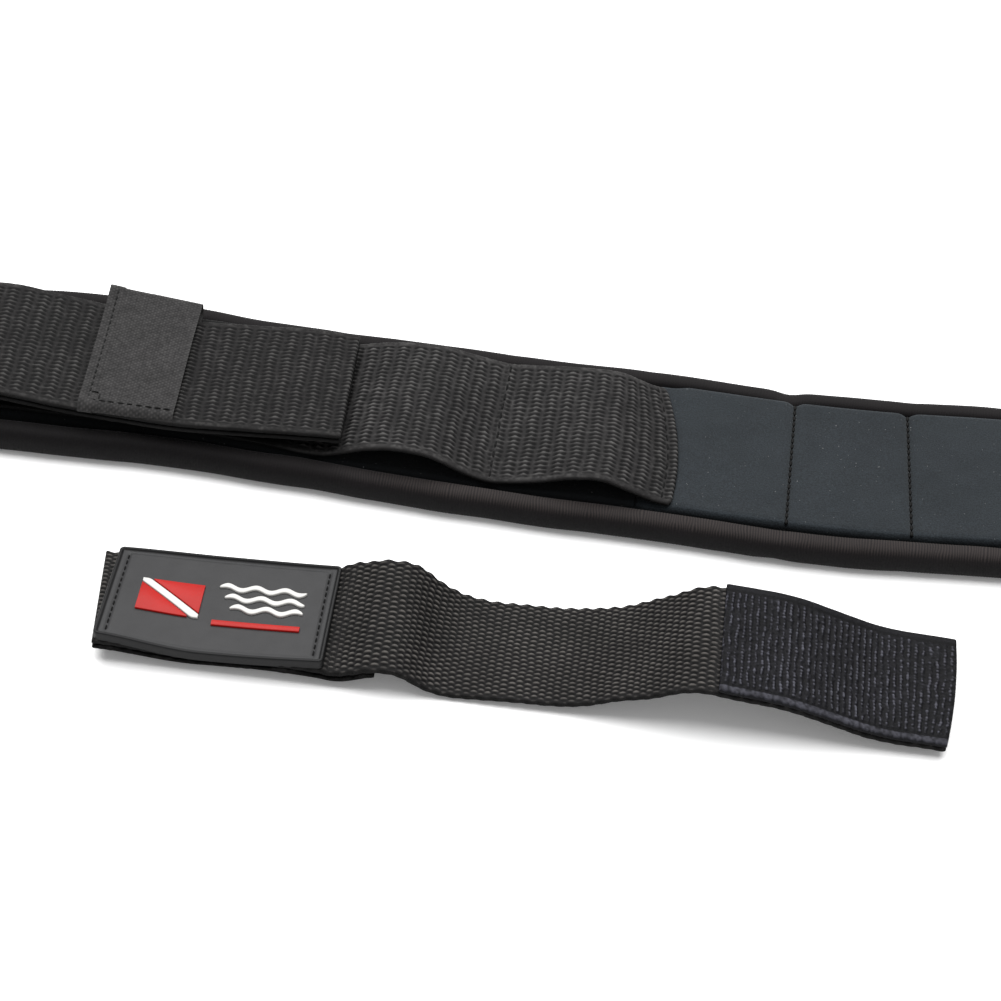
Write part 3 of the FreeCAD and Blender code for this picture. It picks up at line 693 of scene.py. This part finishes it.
def quilting():
    heavy = {"radius": 0.58, "length": 1.8, "gap": 0.6, "bow": 0.3}
    for name, places, body, node in (
            ("quilting_stitches", (1, 2), "pad", "quilting_thread"),
            ("wing_quilting_stitches", (4, 5, 6), "right_wing", "wing_quilting_thread")):
        piece = stitch_rows(name, [seam_run(CHANNEL * k) for k in places], **heavy)
        dress(piece, thread_mat, body, [node])
    piece = stitch_rows("flex_stitches", [seam_run(FLEX_X)], **heavy)
    dress(piece, thread_mat, blend=FLEX)


for number, (left, right) in enumerate(zip(SEAMS, SEAMS[1:]), 1):
    channel(number, left, right)
back_panel()
bindings()
quilting()


# ---- pocket webbing ---------------------------------------------------------------------------
POCKET_BACK = [(-205.2, 9.0), (-160, 9.2), (-115, 9.0), (-101.6, 8.4), (-97, 8.8), (-92, 10.2),
               (-84, 12.2), (-76, 13.1), (-70, 13.1), (-64, 12.3), (-56, 10.8), (-50.8, 10.1),
               (-45, 10.7), (-36, 11.8), (-27, 12.5), (-18, 12.2), (-9.7, 10.4), (-3, 8.9), (1.0, 8.4)]
POCKET_FRONT = [(-205.2, 9.0), (-160, 9.2), (-115, 9.0), (-101.6, 8.2), (-97, 9.0), (-93.7, 10.4),
                (-86, 13.4), (-76, 14.8), (-67.5, 13.9), (-58.6, 10.0), (-53, 8.2), (-50.8, 7.9),
                (-48, 8.1), (-37.2, 10.3), (-26.3, 13.5), (-18.3, 14.0), (-9.7, 10.9), (-3, 8.7), (1.0, 8.2)]
POCKET_SIDE = -3.0      # how far the pocket webbing lies below the pad's centre line


def pocket_tilt(x):
    back, front = through(POCKET_BACK, x), through(POCKET_FRONT, x)
    return np.zeros_like(x), (front - back) / 2


def pocket_warp(x, u):
    """The sewn end bulges in the middle and its corners are round."""
    end = 0.3 - 2.9 * u - 2.8 * u**2 - 0.8 * np.clip((np.abs(u) - 0.92) / 0.08, 0, 1) ** 2
    return end * rise(-22, 0.5, x)


def pocket_webbing():
    x = np.arange(-205.2, 1.05, 0.1)
    z = (through(POCKET_BACK, x) + through(POCKET_FRONT, x)) / 2
    path = np.column_stack([x, z])
    s = lengths(path)

    def at(place):
        return float(np.interp(place, x, s))

    def weave(length, t):
        place = np.interp(length, s, x)
        near = np.abs(place + POCKET_PITCH + 0.25 * lumps(t, 0 * t, 6.0, 81))
        sewn = np.exp(-((near / 0.75) ** 2))
        tuft = 0.35 + 0.5 * np.abs(lumps(length, t, 0.7, 82))
        h = belt_weave(length + 1.1, t) * (0.25 + 0.75 * rise(-116, -104, place))
        return h * (1 - sewn) + tuft * sewn

    parts = (("hidden", -205.2, -112.0, 1.2, (True, False)),
             ("one", -112.0, -POCKET_PITCH, 0.33, (False, False)),
             ("two", -POCKET_PITCH, 1.05, 0.33, (False, True)))
    for label, x0, x1, grid, ends in parts:
        piece = ribbon(f"pocket_webbing_{label}", path, weave, span=(at(x0), at(x1)), grid=grid,
                       tilt=pocket_tilt, centre=lambda v: pad_centre(v) + POCKET_SIDE, ends=ends,
                       warp=pocket_warp, under=1.2, seed=83)
        dress(piece, webbing_mat, "pad", ["pocket_webbing", "seam_tape"] if label == "one" else ())
    runs = []
    for place in (-POCKET_PITCH * 2, -POCKET_PITCH, -0.8):
        ys = np.linspace(24.2, -24.2, 50)
        back, front = float(through(POCKET_BACK, place)), float(through(POCKET_FRONT, place))
        zs = np.interp(ys, [-25, 25], [front, back]) + WEB_T + 0.12
        shift = pocket_warp(np.full_like(ys, place), ys / WEB_HALF) if place > -5 else 0
        xs = place + shift - (1.2 if place > -5 else 0) + 0.25 * lumps(ys, 0 * ys, 6.0, 81)
        runs.append(np.stack([xs, ys + pad_centre(xs) + POCKET_SIDE, zs], 1))
    piece = stitch_rows("pocket_stitches", runs, radius=0.26, length=2.6, gap=1.2, sunk=0.2)
    dress(piece, thread_mat, "pad", ["pocket_thread"])


pocket_webbing()


# ---- buckle strap -----------------------------------------------------------------------------
def strap_tilt(x):
    mean = through([(-300, 0), (-240, 0), (-226, 1.0), (-212, 2.4), (-203, 1.5), (-195, 0.5),
                    (-185, -.5), (-96, -.5), (-90, -.5)], x)
    front = through([(-300, 0), (-240, 0), (-206, .3), (-191, .65), (-181, .8), (-160, 1.3),
                     (-142, 1.5), (-105, 1.6), (-94, 2.1)], x)
    return mean, front


def strap_centre(x):
    return through([(-300, 0), (-240, 0), (-206, -.3), (-191, -.5), (-160, -1.9), (-142, -2.7),
                    (-126, -1.9), (-105, -.7), (-94, -.7)], x)


def buckle_strap():
    inner = BAR_R + 0.3
    gap = 0.2
    climb, lap, lift_run, lift_up = 34.0, 34.0, 22.0, 3.1
    lower_in = BAR_Z - inner                     # inner face of the lower run at the bar
    lap_z = PAD_TOP_Z + WEB_T                    # inner face of the lower run over the pad
    flat = STRAP_END_X - (BAR_X + climb + lap + lift_run)
    rest = [(lap, 0)] + step_up(lift_up, lift_run) + [(flat, 0)]
    lower = step_up(lap_z - lower_in, climb) + rest
    upper = step_up(lap_z + gap - (BAR_Z + inner), climb) + rest
    low = walk((BAR_X, lower_in), 0, lower)[::-1]
    bend = walk((BAR_X, lower_in), 180, [(math.pi * inner, -180)])
    top = walk((BAR_X, BAR_Z + inner), 0, upper)
    path = np.concatenate([low, bend[1:], top[1:]])
    s = lengths(path)
    turn_s = s[len(low) + len(bend) // 2]

    def at(x, run):
        part = (s < turn_s) if run == "lower" else (s > turn_s)
        order = np.argsort(path[part, 0])
        return float(np.interp(x, path[part, 0][order], s[part][order]))

    pieces = (("lower", 0.0, at(-230, "lower"), 0.8, (True, False)),
              ("heel", at(-230, "lower"), at(-222, "upper"), 0.55, (False, False)),
              ("outer", at(-222, "upper"), at(-157, "upper"), 0.36, (False, False)),
              ("end", at(-157, "upper"), float(s[-1]), 0.33, (False, True)))
    for label, s0, s1, grid, ends in pieces:
        piece = ribbon(f"buckle_strap_{label}", path, belt_weave, span=(s0, s1), grid=grid,
                       tilt=strap_tilt, centre=strap_centre, skew=-1.3, ends=ends, under=1.2,
                       rumple=0.0 if label in ("lower", "heel") else 0.10, seed=91)
        dress(piece, shaded_buckle_web_mat, "pad", ["buckle_strap"] if label == "heel" else ())
    runs = []
    box = [(-243, -20), (-219, -20), (-219, 20), (-243, 20), (-243, -20), (-219, 20)]
    for start, end in zip(box, box[1:]):
        line = np.linspace(start, end, 40)
        on = through([(x, z) for x, z in top[::20]], line[:, 0])
        mean, front = strap_tilt(line[:, 0])
        z = on + WEB_T + mean - front * line[:, 1] / WEB_HALF + 0.12
        runs.append(np.column_stack([line[:, 0], line[:, 1] + strap_centre(line[:, 0]), z]))
    piece = stitch_rows("buckle_strap_stitches", runs)
    dress(piece, thread_mat, "pad", ["buckle_strap_thread"])


buckle_strap()


# ---- cloth keeper -----------------------------------------------------------------------------
def band_loop(half_back, half_front, low, high, radius, step):
    """Closed section of a cloth band, evenly spaced, from the front face's back edge round."""
    corners = [(half_back - radius, high - radius, 90), (-half_front + radius, high - radius, 180),
               (-half_front + radius, low + radius, 270), (half_back - radius, low + radius, 360)]
    points = []
    for cy, cz, end in corners:
        for degree in np.linspace(end - 90, end, 9):
            a = math.radians(degree)
            points.append((cy + radius * math.cos(a), cz + radius * math.sin(a)))
    points = np.array(points + points[:1])
    far = lengths(points)
    at = np.linspace(0, far[-1], int(far[-1] / step), endpoint=False)
    return np.stack([np.interp(at, far, points[:, k]) for k in (0, 1)], 1), at


def cloth_band(name, x0, x1, half_back, half_front, low, high, skew, body, node, step=0.3,
               lift=0.0, tuck=0.0):
    """A woven band round the strap: outer cloth with relief, hemmed edges, plain inside."""
    loop, at = band_loop(half_back, half_front, low, high, 1.9, step)
    centre = np.array([(half_back - half_front) / 2, (low + high) / 2])
    normal = np.gradient(np.concatenate([loop[-2:], loop, loop[:2]]), axis=0)[2:-2]
    normal = np.stack([normal[:, 1], -normal[:, 0]], 1)
    normal /= np.linalg.norm(normal, axis=1)[:, None]
    normal *= np.sign(((loop - centre) * normal).sum(1).mean())
    long = x1 - x0
    near_end = [long - .35, long - .12, long]
    cols = np.concatenate([[0, .12, .35], np.arange(.7, long - .7, step), near_end])
    thick = np.interp(cols, [0, .12, .35, .7, long - .7] + near_end, [.15, .6, .9, 1, 1, .9, .6, .15])
    S, C = np.meshgrid(at, cols, indexing="ij")
    h = cloth_weave(S, C)
    hem = 0.28 * (1 - rise(4.2, 4.7, C))
    front_hem = 0.25 * (1 - rise(4.6, 5.2, np.abs(loop[:, 0] + half_front))) * (loop[:, 1] > high - 3)
    out = 0.16 * (h - 0.5) + hem + front_hem[:, None] + 0.12 * lumps(S, C, 8.0, 101)
    outer_y = loop[:, None, 0] + normal[:, None, 0] * out
    outer_z = loop[:, None, 1] + normal[:, None, 1] * out
    inner_y = loop[:, None, 0] - normal[:, None, 0] * thick
    inner_z = loop[:, None, 1] - normal[:, None, 1] * thick
    inner_y, inner_z = (np.broadcast_to(v, S.shape) for v in (inner_y, inner_z))
    X = x0 + C
    xo = X + skew * outer_y / half_back
    xi = X + skew * inner_y / half_back
    corner = lift * (1 - C / long)

    def settled(y, z):
        below = np.clip((high - 1.9 - z) / (high - 1.9 - low), 0, 1)
        settle = (corner - 0.5 * lift) * rise(4, half_back, y)
        return y + tuck * below * (y < 0), z + settle * (1 - below)

    outer = np.stack([xo, *settled(outer_y, outer_z)], -1)
    inner = np.stack([xi, *settled(inner_y, inner_z)], -1)
    rings = np.concatenate([outer, inner[:, ::-3]], 1)
    # tone: the weave, with a painted highlight along the band's back edge
    tone = np.concatenate([np.clip(h + 0.25 * rise(half_back - 3.0, half_back, outer_y), 0, 1),
                           np.full((len(at), inner[:, ::-3].shape[1]), .3)], 1)
    fab = np.concatenate([np.stack([S, C, 0 * S], -1), np.stack([S, C, 0 * S + 5], -1)[:, ::-3]], 1)
    piece = loft(name, rings, tone, fab, closed=True)
    dress(piece, keeper_mat, body, [node])
    return piece


KEEPER_LIFT = 2.8       # the keeper's back edge slopes down by this much along the belt


def keeper():
    x0, x1, half_back, half_front, high = -171.3, -143.5, 27.4, 26.7, 17.3
    cloth_band("cloth_keeper", x0, x1, half_back, half_front, 11.15, high, -1.2, "strap_keeper", "keeper",
               0.26, lift=KEEPER_LIFT, tuck=3.6)
    top = high + 0.30
    left, front = x0 + 2.7, -half_front + 2.6

    def shear(points):
        points = np.array(points, float)
        points[:, 0] += -1.2 * points[:, 1] / half_back
        return points

    ys = np.linspace(half_back - 2.2, front, 40)
    raised_by = KEEPER_LIFT * (0.5 - 2.7 / (x1 - x0)) * rise(4, half_back, ys)
    box_x, box_y = left + 3.0, front + 3.4
    runs = [shear(np.column_stack([np.full_like(ys, left), ys, top + raised_by])),
            shear(np.linspace((left, front, top), (x1 - 0.8, front, top), 20)),
            shear(np.linspace((box_x, front, top), (box_x, box_y, top), 8)),
            shear(np.linspace((left, box_y, top), (box_x, box_y, top), 8))]
    piece = stitch_rows("keeper_stitches", runs, radius=0.22, length=1.9, gap=0.8, sunk=0.10)
    dress(piece, faded_mat, "strap_keeper", ["keeper_thread"])
    cloth_band("tongue_band", 332.0, 352.0, 26.8, 26.8, 0.2, 8.4, 0.0, "tongue_band", "tongue_keeper", 0.5)


keeper()


# ---- tongue -----------------------------------------------------------------------------------
def tongue():
    start = RIGHT_X - 28.0
    inner = 0.2
    run = 96.0
    moves = [(39.7, 0)] + step_up(1.5 - PAD_TOP_Z, 36.0)
    moves += [(run, 0), (math.pi * (WEB_T + inner), 180), (run - 12.0, 0), (math.pi * inner, -180),
              (run - 26.0, 0)]
    path = walk((start, PAD_TOP_Z), 0, moves)
    total = float(lengths(path)[-1])
    cut = 39.7 + 36.9 + run - 14.0
    for label, s0, s1, ends in (("run", 0.0, cut, (True, False)), ("fold", cut, total, (False, True))):
        piece = ribbon(f"tongue_webbing_{label}", path, belt_weave, span=(s0, s1), grid=0.6, under=0.7,
                       depth=0.3 if label == "run" else 0.12, ends=ends, rumple=0.0)
        dress(piece, webbing_mat, "right_wing", ["tongue_webbing"] if label == "run" else ())
    z = PAD_TOP_Z + WEB_T + 0.12
    corners = [(start + 3, -20), (start + 25, -20), (start + 25, 20), (start + 3, 20), (start + 3, -20)]
    runs = [np.linspace((*a, z), (*b, z), 20) for a, b in zip(corners, corners[1:])]
    piece = stitch_rows("tongue_stitches", runs)
    dress(piece, thread_mat, "right_wing", ["tongue_thread"])


tongue()


# ---- closing strap ----------------------------------------------------------------------------
CURL_BACK, CURL_FRONT = 0.6, 4.0     # lift of the two corners at the badge end of the strap


def curl(x):
    """1 at the badge end of the strap, 0 where it lies flat."""
    return 1 - rise(-150, -118, x)


def loose_tilt(x):
    front = through([(-150, 0), (-90, 0), (-86, -1.0), (-82, -2.4), (-76, -2.5), (-70, -2.4),
                     (-64, -2.2), (-57.5, -1.4), (-51, -.4), (-45, .35), (-30, .75), (-15, .75),
                     (-5, 1.2), (3, .3), (8, .1), (15, -.8), (38, -1.6), (55, -1.45), (80, -1.25),
                     (90, -1.25)], x)
    mean = through([(-150, 0), (-90, 0), (-86, .5), (-82, 1.0), (-76, .2), (-70, .4), (-64, 2.0),
                    (-57.5, 1.4), (-51, .7), (-45, .35), (-30, .75), (-15, .6), (-5, .8), (8, -.3),
                    (15, -.8), (38, -.5), (55, -.2), (80, .6), (90, .6)], x)
    return mean + curl(x) * (CURL_FRONT + CURL_BACK) / 2, front + curl(x) * (CURL_FRONT - CURL_BACK) / 2


def loose_warp(x, u):
    """Skewed ends: the badge end's back corner sticks out, and so does the hook end's."""
    left = (2.0 * u) * (1 - rise(-150, -130, x))
    right = (1.4 + 1.2 * u - 1.0 * u**2) * rise(66, 84, x)
    return right - left


def loose_centre(x):
    return np.full_like(x, LOOSE_Y)


def closing_strap():
    first = walk(BADGE_START, BADGE_HEADING, BADGE_SIDE)
    second = walk((first[-1][0] + 0.1, 0.0), 0, HOOK_SIDE)
    path = np.concatenate([first, second])
    s = lengths(path)
    patch_s = float(s[len(first)]) + sum(length for length, _ in HOOK_SIDE[:4])
    order = (("badge_end", 0.0, 70.0, "closing_strap", None, (True, False)),
             ("fold", 70.0, patch_s - 2.0, None, FOLD, (False, False)),
             ("hook_end", patch_s - 2.0, float(s[-1]), "closing_strap_end", None, (False, True)))
    for label, s0, s1, body, blend, ends in order:
        hidden = label != "fold"
        piece = ribbon(f"closing_strap_{label}", path, strap_weave, half=LOOSE_HALF, thick=LOOSE_T,
                       depth=0.5, grid=0.55 if hidden else 0.33, under=0.6, span=(s0, s1),
                       tilt=loose_tilt, centre=loose_centre, warp=loose_warp, ends=ends, rumple=0.10,
                       place=turned, seed=111, scallop=0.32)
        stands = {"badge_end": ["strap_badge_end"], "hook_end": ["strap_hook_end"]}.get(label, ())
        dress(piece, strap_mat, body, stands, blend)
    pile_t, hook_t = 1.5, 1.6
    under = offset(walk(BADGE_START, BADGE_HEADING, BADGE_SIDE[:3] + [(4.0, -24.4)]), -pile_t)
    piece = ribbon("loop_pile", under, loop_weave, half=LOOSE_HALF + 0.2, thick=pile_t, depth=0.5,
                   grid=0.6, under=0.6, tilt=loose_tilt, centre=loose_centre, warp=loose_warp,
                   rumple=0.05, place=turned, seed=121)
    dress(piece, loop_mat, "closing_strap", ["loop_fastener"])
    hook = offset(path[np.searchsorted(s, patch_s):], LOOSE_T - 0.1)
    piece = ribbon("hook_patch_pile", hook, hook_weave, half=LOOSE_HALF, thick=hook_t, depth=0.7, grid=0.3,
                   tilt=loose_tilt, centre=loose_centre, warp=loose_warp, rumple=0.08, place=turned, seed=131)
    dress(piece, hook_mat, "closing_strap_end", ["hook_patch"])


closing_strap()


# ---- badge ------------------------------------------------------------------------------------
BADGE_L, BADGE_W = 62.0, 37.0
BADGE_FACE = LOOSE_T + 2.1
RIM_W, RIM_H = 1.1, 0.7
BADGE_CORNER = 1.3


def on_badge(points):
    """From badge lengths (along, across, height) to the row frame."""
    a = math.radians(BADGE_HEADING)
    u, v, w = points[..., 0] + 2.5, points[..., 1], points[..., 2]
    w = w - 0.25 * (v / BADGE_W * 2) ** 2 + 0.15 * np.sin(u / 11.0)
    w = w + curl(BADGE_START[0] + u) * np.interp(v / LOOSE_HALF, [-1, 1], [CURL_FRONT, CURL_BACK])
    v = v - 0.9 * np.sin(np.pi * np.clip(u - 2.5, 0, BADGE_L) / BADGE_L) * rise(0, -BADGE_W / 2, v)
    x = BADGE_START[0] + u * math.cos(a) - w * math.sin(a)
    z = BADGE_START[1] + u * math.sin(a) + w * math.cos(a)
    return turned(np.stack([x, LOOSE_Y + v, z], -1))


def badge_depth(u, v, corner=BADGE_CORNER):
    """How far inside the rounded outline a point is."""
    x = np.abs(u - BADGE_L / 2) - (BADGE_L / 2 - corner)
    y = np.abs(v) - (BADGE_W / 2 - corner)
    outside = np.hypot(np.maximum(x, 0), np.maximum(y, 0)) + np.minimum(np.maximum(x, y), 0)
    return corner - outside


def badge():
    corner = BADGE_CORNER
    fine = np.array([0, .05, .15, .3])
    u = np.concatenate([fine, np.arange(.55, BADGE_L - .5, .28), BADGE_L - fine[::-1]])
    beyond = np.maximum(np.maximum(corner - u, u - (BADGE_L - corner)), 0)
    half = BADGE_W / 2 - corner + np.sqrt(np.maximum(corner**2 - beyond**2, 0))
    grid = np.concatenate([[1, .996, .988], np.linspace(.975, -.975, 128), [-.988, -.996, -1]])
    U, G = np.meshgrid(u, grid, indexing="ij")
    V = G * half[:, None]
    d = badge_depth(U, V)
    round_off = -0.5 * (1 - np.sqrt(np.clip(1 - (1 - np.clip(d / 0.5, 0, 1)) ** 2, 0, 1)))
    rim = RIM_H * (1 - rise(RIM_W - 0.3, RIM_W + 0.15, d))
    side = np.minimum(U, BADGE_L - U)
    groove = -0.35 * np.exp(-(((side - 3.0) / 0.5) ** 2)) * rise(1.5, 3.0, BADGE_W / 2 - np.abs(V))
    groove = groove - 0.2 * np.exp(-(((BADGE_W / 2 - np.abs(V) - 1.9) / 0.35) ** 2)) * rise(2, 4, side)
    W = BADGE_FACE + rim + round_off + groove
    sides = np.linspace(0.75, 0, 5)[None, :] * (BADGE_FACE - LOOSE_T) + LOOSE_T
    down = np.broadcast_to(sides, (len(u), 5))
    below = np.linspace(-1, 1, 12)[None, 1:-1] * half[:, None]
    rim_v = np.broadcast_to(half[:, None], down.shape)
    rows = [(U, V, W), (u[:, None], -rim_v, down), (u[:, None], below, np.full_like(below, LOOSE_T)),
            (u[:, None], rim_v, down[:, ::-1])]
    rings = np.concatenate([np.stack(np.broadcast_arrays(*row), -1) for row in rows], 1)
    # the rim and the sides take the dark edge colour: painted shade on the sides
    face = rise(RIM_W - 0.1, RIM_W + 0.3, badge_depth(rings[..., 0], rings[..., 1]))
    tone = 0.12 + 0.5 * face
    piece = loft("rubber_badge", on_badge(rings), tone, rings)
    dress(piece, rubber_mat, "closing_strap", ["badge"])
    y = np.linspace(BADGE_W / 2 - 2.4, -BADGE_W / 2 + 2.4, 30)
    runs = [on_badge(np.column_stack([np.full(30, x), y, np.full(30, BADGE_FACE - 0.12)]))
            for x in (3.0, BADGE_L - 3.0)]
    piece = stitch_rows("badge_stitches", runs, radius=0.2, length=1.7, gap=0.7, bow=0.2)
    dress(piece, thread_mat, "closing_strap", ["badge_thread"])


def raised(name, outlines, height, material, node):
    """Flat emblem shapes standing on the badge, with soft edges; an outline is a strip's two sides."""
    points, quads, caps = [], [], []
    count = 0
    for low, high in outlines:
        low, high = np.array(low, float), np.array(high, float)
        n = len(low)
        across = high - low
        width = np.linalg.norm(across, axis=1)[:, None]
        unit = across / width
        soft = 0.22
        levels = [(0.0, -0.1), (0.0, height - soft), (soft * 0.35, height - soft * 0.3), (soft, height)]
        loop = []
        for inset, z in levels:
            loop.append(np.column_stack([low + unit * inset, np.full(n, BADGE_FACE + z)]))
        for inset, z in levels[::-1]:
            loop.append(np.column_stack([high - unit * inset, np.full(n, BADGE_FACE + z)]))
        rings = np.stack(loop, 1)
        k = rings.shape[1]
        quads.append(ring_quads(n, k, count))
        caps += ring_caps(n, k, count)
        points.append(on_badge(rings).reshape(-1, 3))
        count += n * k
    points = np.concatenate(points)
    piece = mesh_object(name, points, np.concatenate(quads), caps, np.full(len(points), .7), points)
    dress(piece, material, "closing_strap", [node])


def emblem():
    """Generic dive flag with waves and a bar."""
    x0, x1, half = 9.0, 26.0, 6.2
    stripe = 1.7
    xs = np.linspace(x0, x1, 24)
    diagonal = half - (xs - x0) / (x1 - x0) * 2 * half
    upper = [(x, min(half, d + stripe)) for x, d in zip(xs, diagonal)]
    lower = [(x, max(-half, d - stripe)) for x, d in zip(xs, diagonal)]
    top = [(x, half) for x in xs]
    bottom = [(x, -half) for x in xs]
    keep_top = [k for k in range(24) if half - upper[k][1] > 0.25]
    keep_low = [k for k in range(24) if lower[k][1] + half > 0.25]
    red = [([upper[k] for k in keep_top], [top[k] for k in keep_top]),
           ([bottom[k] for k in keep_low], [lower[k] for k in keep_low])]
    bar = np.linspace(30.0, 54.0, 12)
    red.append(([(x, -8.0) for x in bar], [(x, -6.2) for x in bar]))
    raised("emblem_flag", red, 0.6, red_mat, "badge_emblem_red")
    inner = 0.35
    white = [([(x, max(-half, d - stripe + inner)) for x, d in zip(xs, diagonal)],
              [(x, min(half, d + stripe - inner)) for x, d in zip(xs, diagonal)])]
    for row in range(3):
        start = 30.0 + 2.0 * row
        wave = np.linspace(start, 54.0, 60)
        middle = 6.4 - 3.9 * row + 0.75 * np.sin((wave - start) * 2 * np.pi / 8.0)
        ends = 0.25 + 0.75 * np.sqrt(np.clip(np.minimum(wave - start, 54.0 - wave) / 2.0, 0, 1))
        white.append((list(zip(wave, middle - 0.85 * ends)), list(zip(wave, middle + 0.85 * ends))))
    raised("emblem_waves", white, 0.6, white_mat, "badge_emblem_white")


badge()
emblem()


# ---- buckle: the CAD's own metal parts --------------------------------------------------------
for node in ("buckle_frame", "buckle_bar", "lever_pin", "cam_lever"):
    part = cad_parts[node]
    part.data.materials.clear()
    part.data.materials.append(steel_mat)
    weld = part.modifiers.new("weld", "WELD")
    weld.merge_threshold = 0.00002
    flatten = part.modifiers.new("flat_faces", "DECIMATE")
    flatten.decimate_type = "DISSOLVE"
    flatten.angle_limit = math.radians(1)
    soften = part.modifiers.new("edges", "BEVEL")
    soften.width = 0.0003
    soften.segments = 2
    soften.limit_method = "ANGLE"
    soften.angle_limit = math.radians(35)
    soften.harden_normals = True


# ---- stage, light and camera ------------------------------------------------------------------
def floor():
    bpy.ops.mesh.primitive_plane_add(size=8.0, location=(0, 0, -0.0002))
    plane = bpy.context.object
    plane.name = "floor"
    f = Finish("white_floor", Roughness=0.9)
    f.shader.inputs["Base Color"].default_value = (0.95, 0.95, 0.95, 1)
    f.shader.inputs["Emission Color"].default_value = (1, 1, 1, 1)
    f.shader.inputs["Emission Strength"].default_value = 0.12
    f.shader.inputs["Specular IOR Level"].default_value = 0.1
    plane.data.materials.append(f.made)


def camera():
    azimuth, elevation, roll = (math.radians(v) for v in (4.6, 43.0, 4.4))
    distance = 0.840
    target = Vector((-0.0471, -0.0248, 0.0))
    back = Vector((math.sin(azimuth) * math.cos(elevation), -math.cos(azimuth) * math.cos(elevation),
                   math.sin(elevation)))
    right = Vector((math.cos(azimuth), math.sin(azimuth), 0.0))
    up = back.cross(right)
    turned_right = right * math.cos(roll) + up * math.sin(roll)
    turned_up = up * math.cos(roll) - right * math.sin(roll)
    data = bpy.data.cameras.new("camera")
    data.lens = 105.0
    data.sensor_width = 36.0
    data.clip_start = 0.01
    data.clip_end = 50.0
    made = bpy.data.objects.new("camera", data)
    bpy.context.scene.collection.objects.link(made)
    place = target + back * distance
    rows = [(turned_right[k], turned_up[k], back[k], place[k]) for k in range(3)]
    made.matrix_world = Matrix(rows + [(0, 0, 0, 1)])
    bpy.context.scene.camera = made


def light():
    world = bpy.data.worlds.new("studio")
    bpy.context.scene.world = world
    world.use_nodes = True
    shade = world.node_tree.nodes["Background"]
    shade.inputs[0].default_value = (1, 1, 1, 1)
    shade.inputs[1].default_value = 0.40
    data = bpy.data.lights.new("overhead", "SUN")
    data.energy = 4.8
    data.angle = math.radians(72)
    lamp = bpy.data.objects.new("overhead", data)
    bpy.context.scene.collection.objects.link(lamp)
    lamp.rotation_mode = "QUATERNION"
    lamp.rotation_quaternion = Vector((0.08, -0.36, -0.95)).to_track_quat("-Z", "Y")
    bpy.context.scene.view_settings.view_transform = "Standard"


floor()
camera()
light()
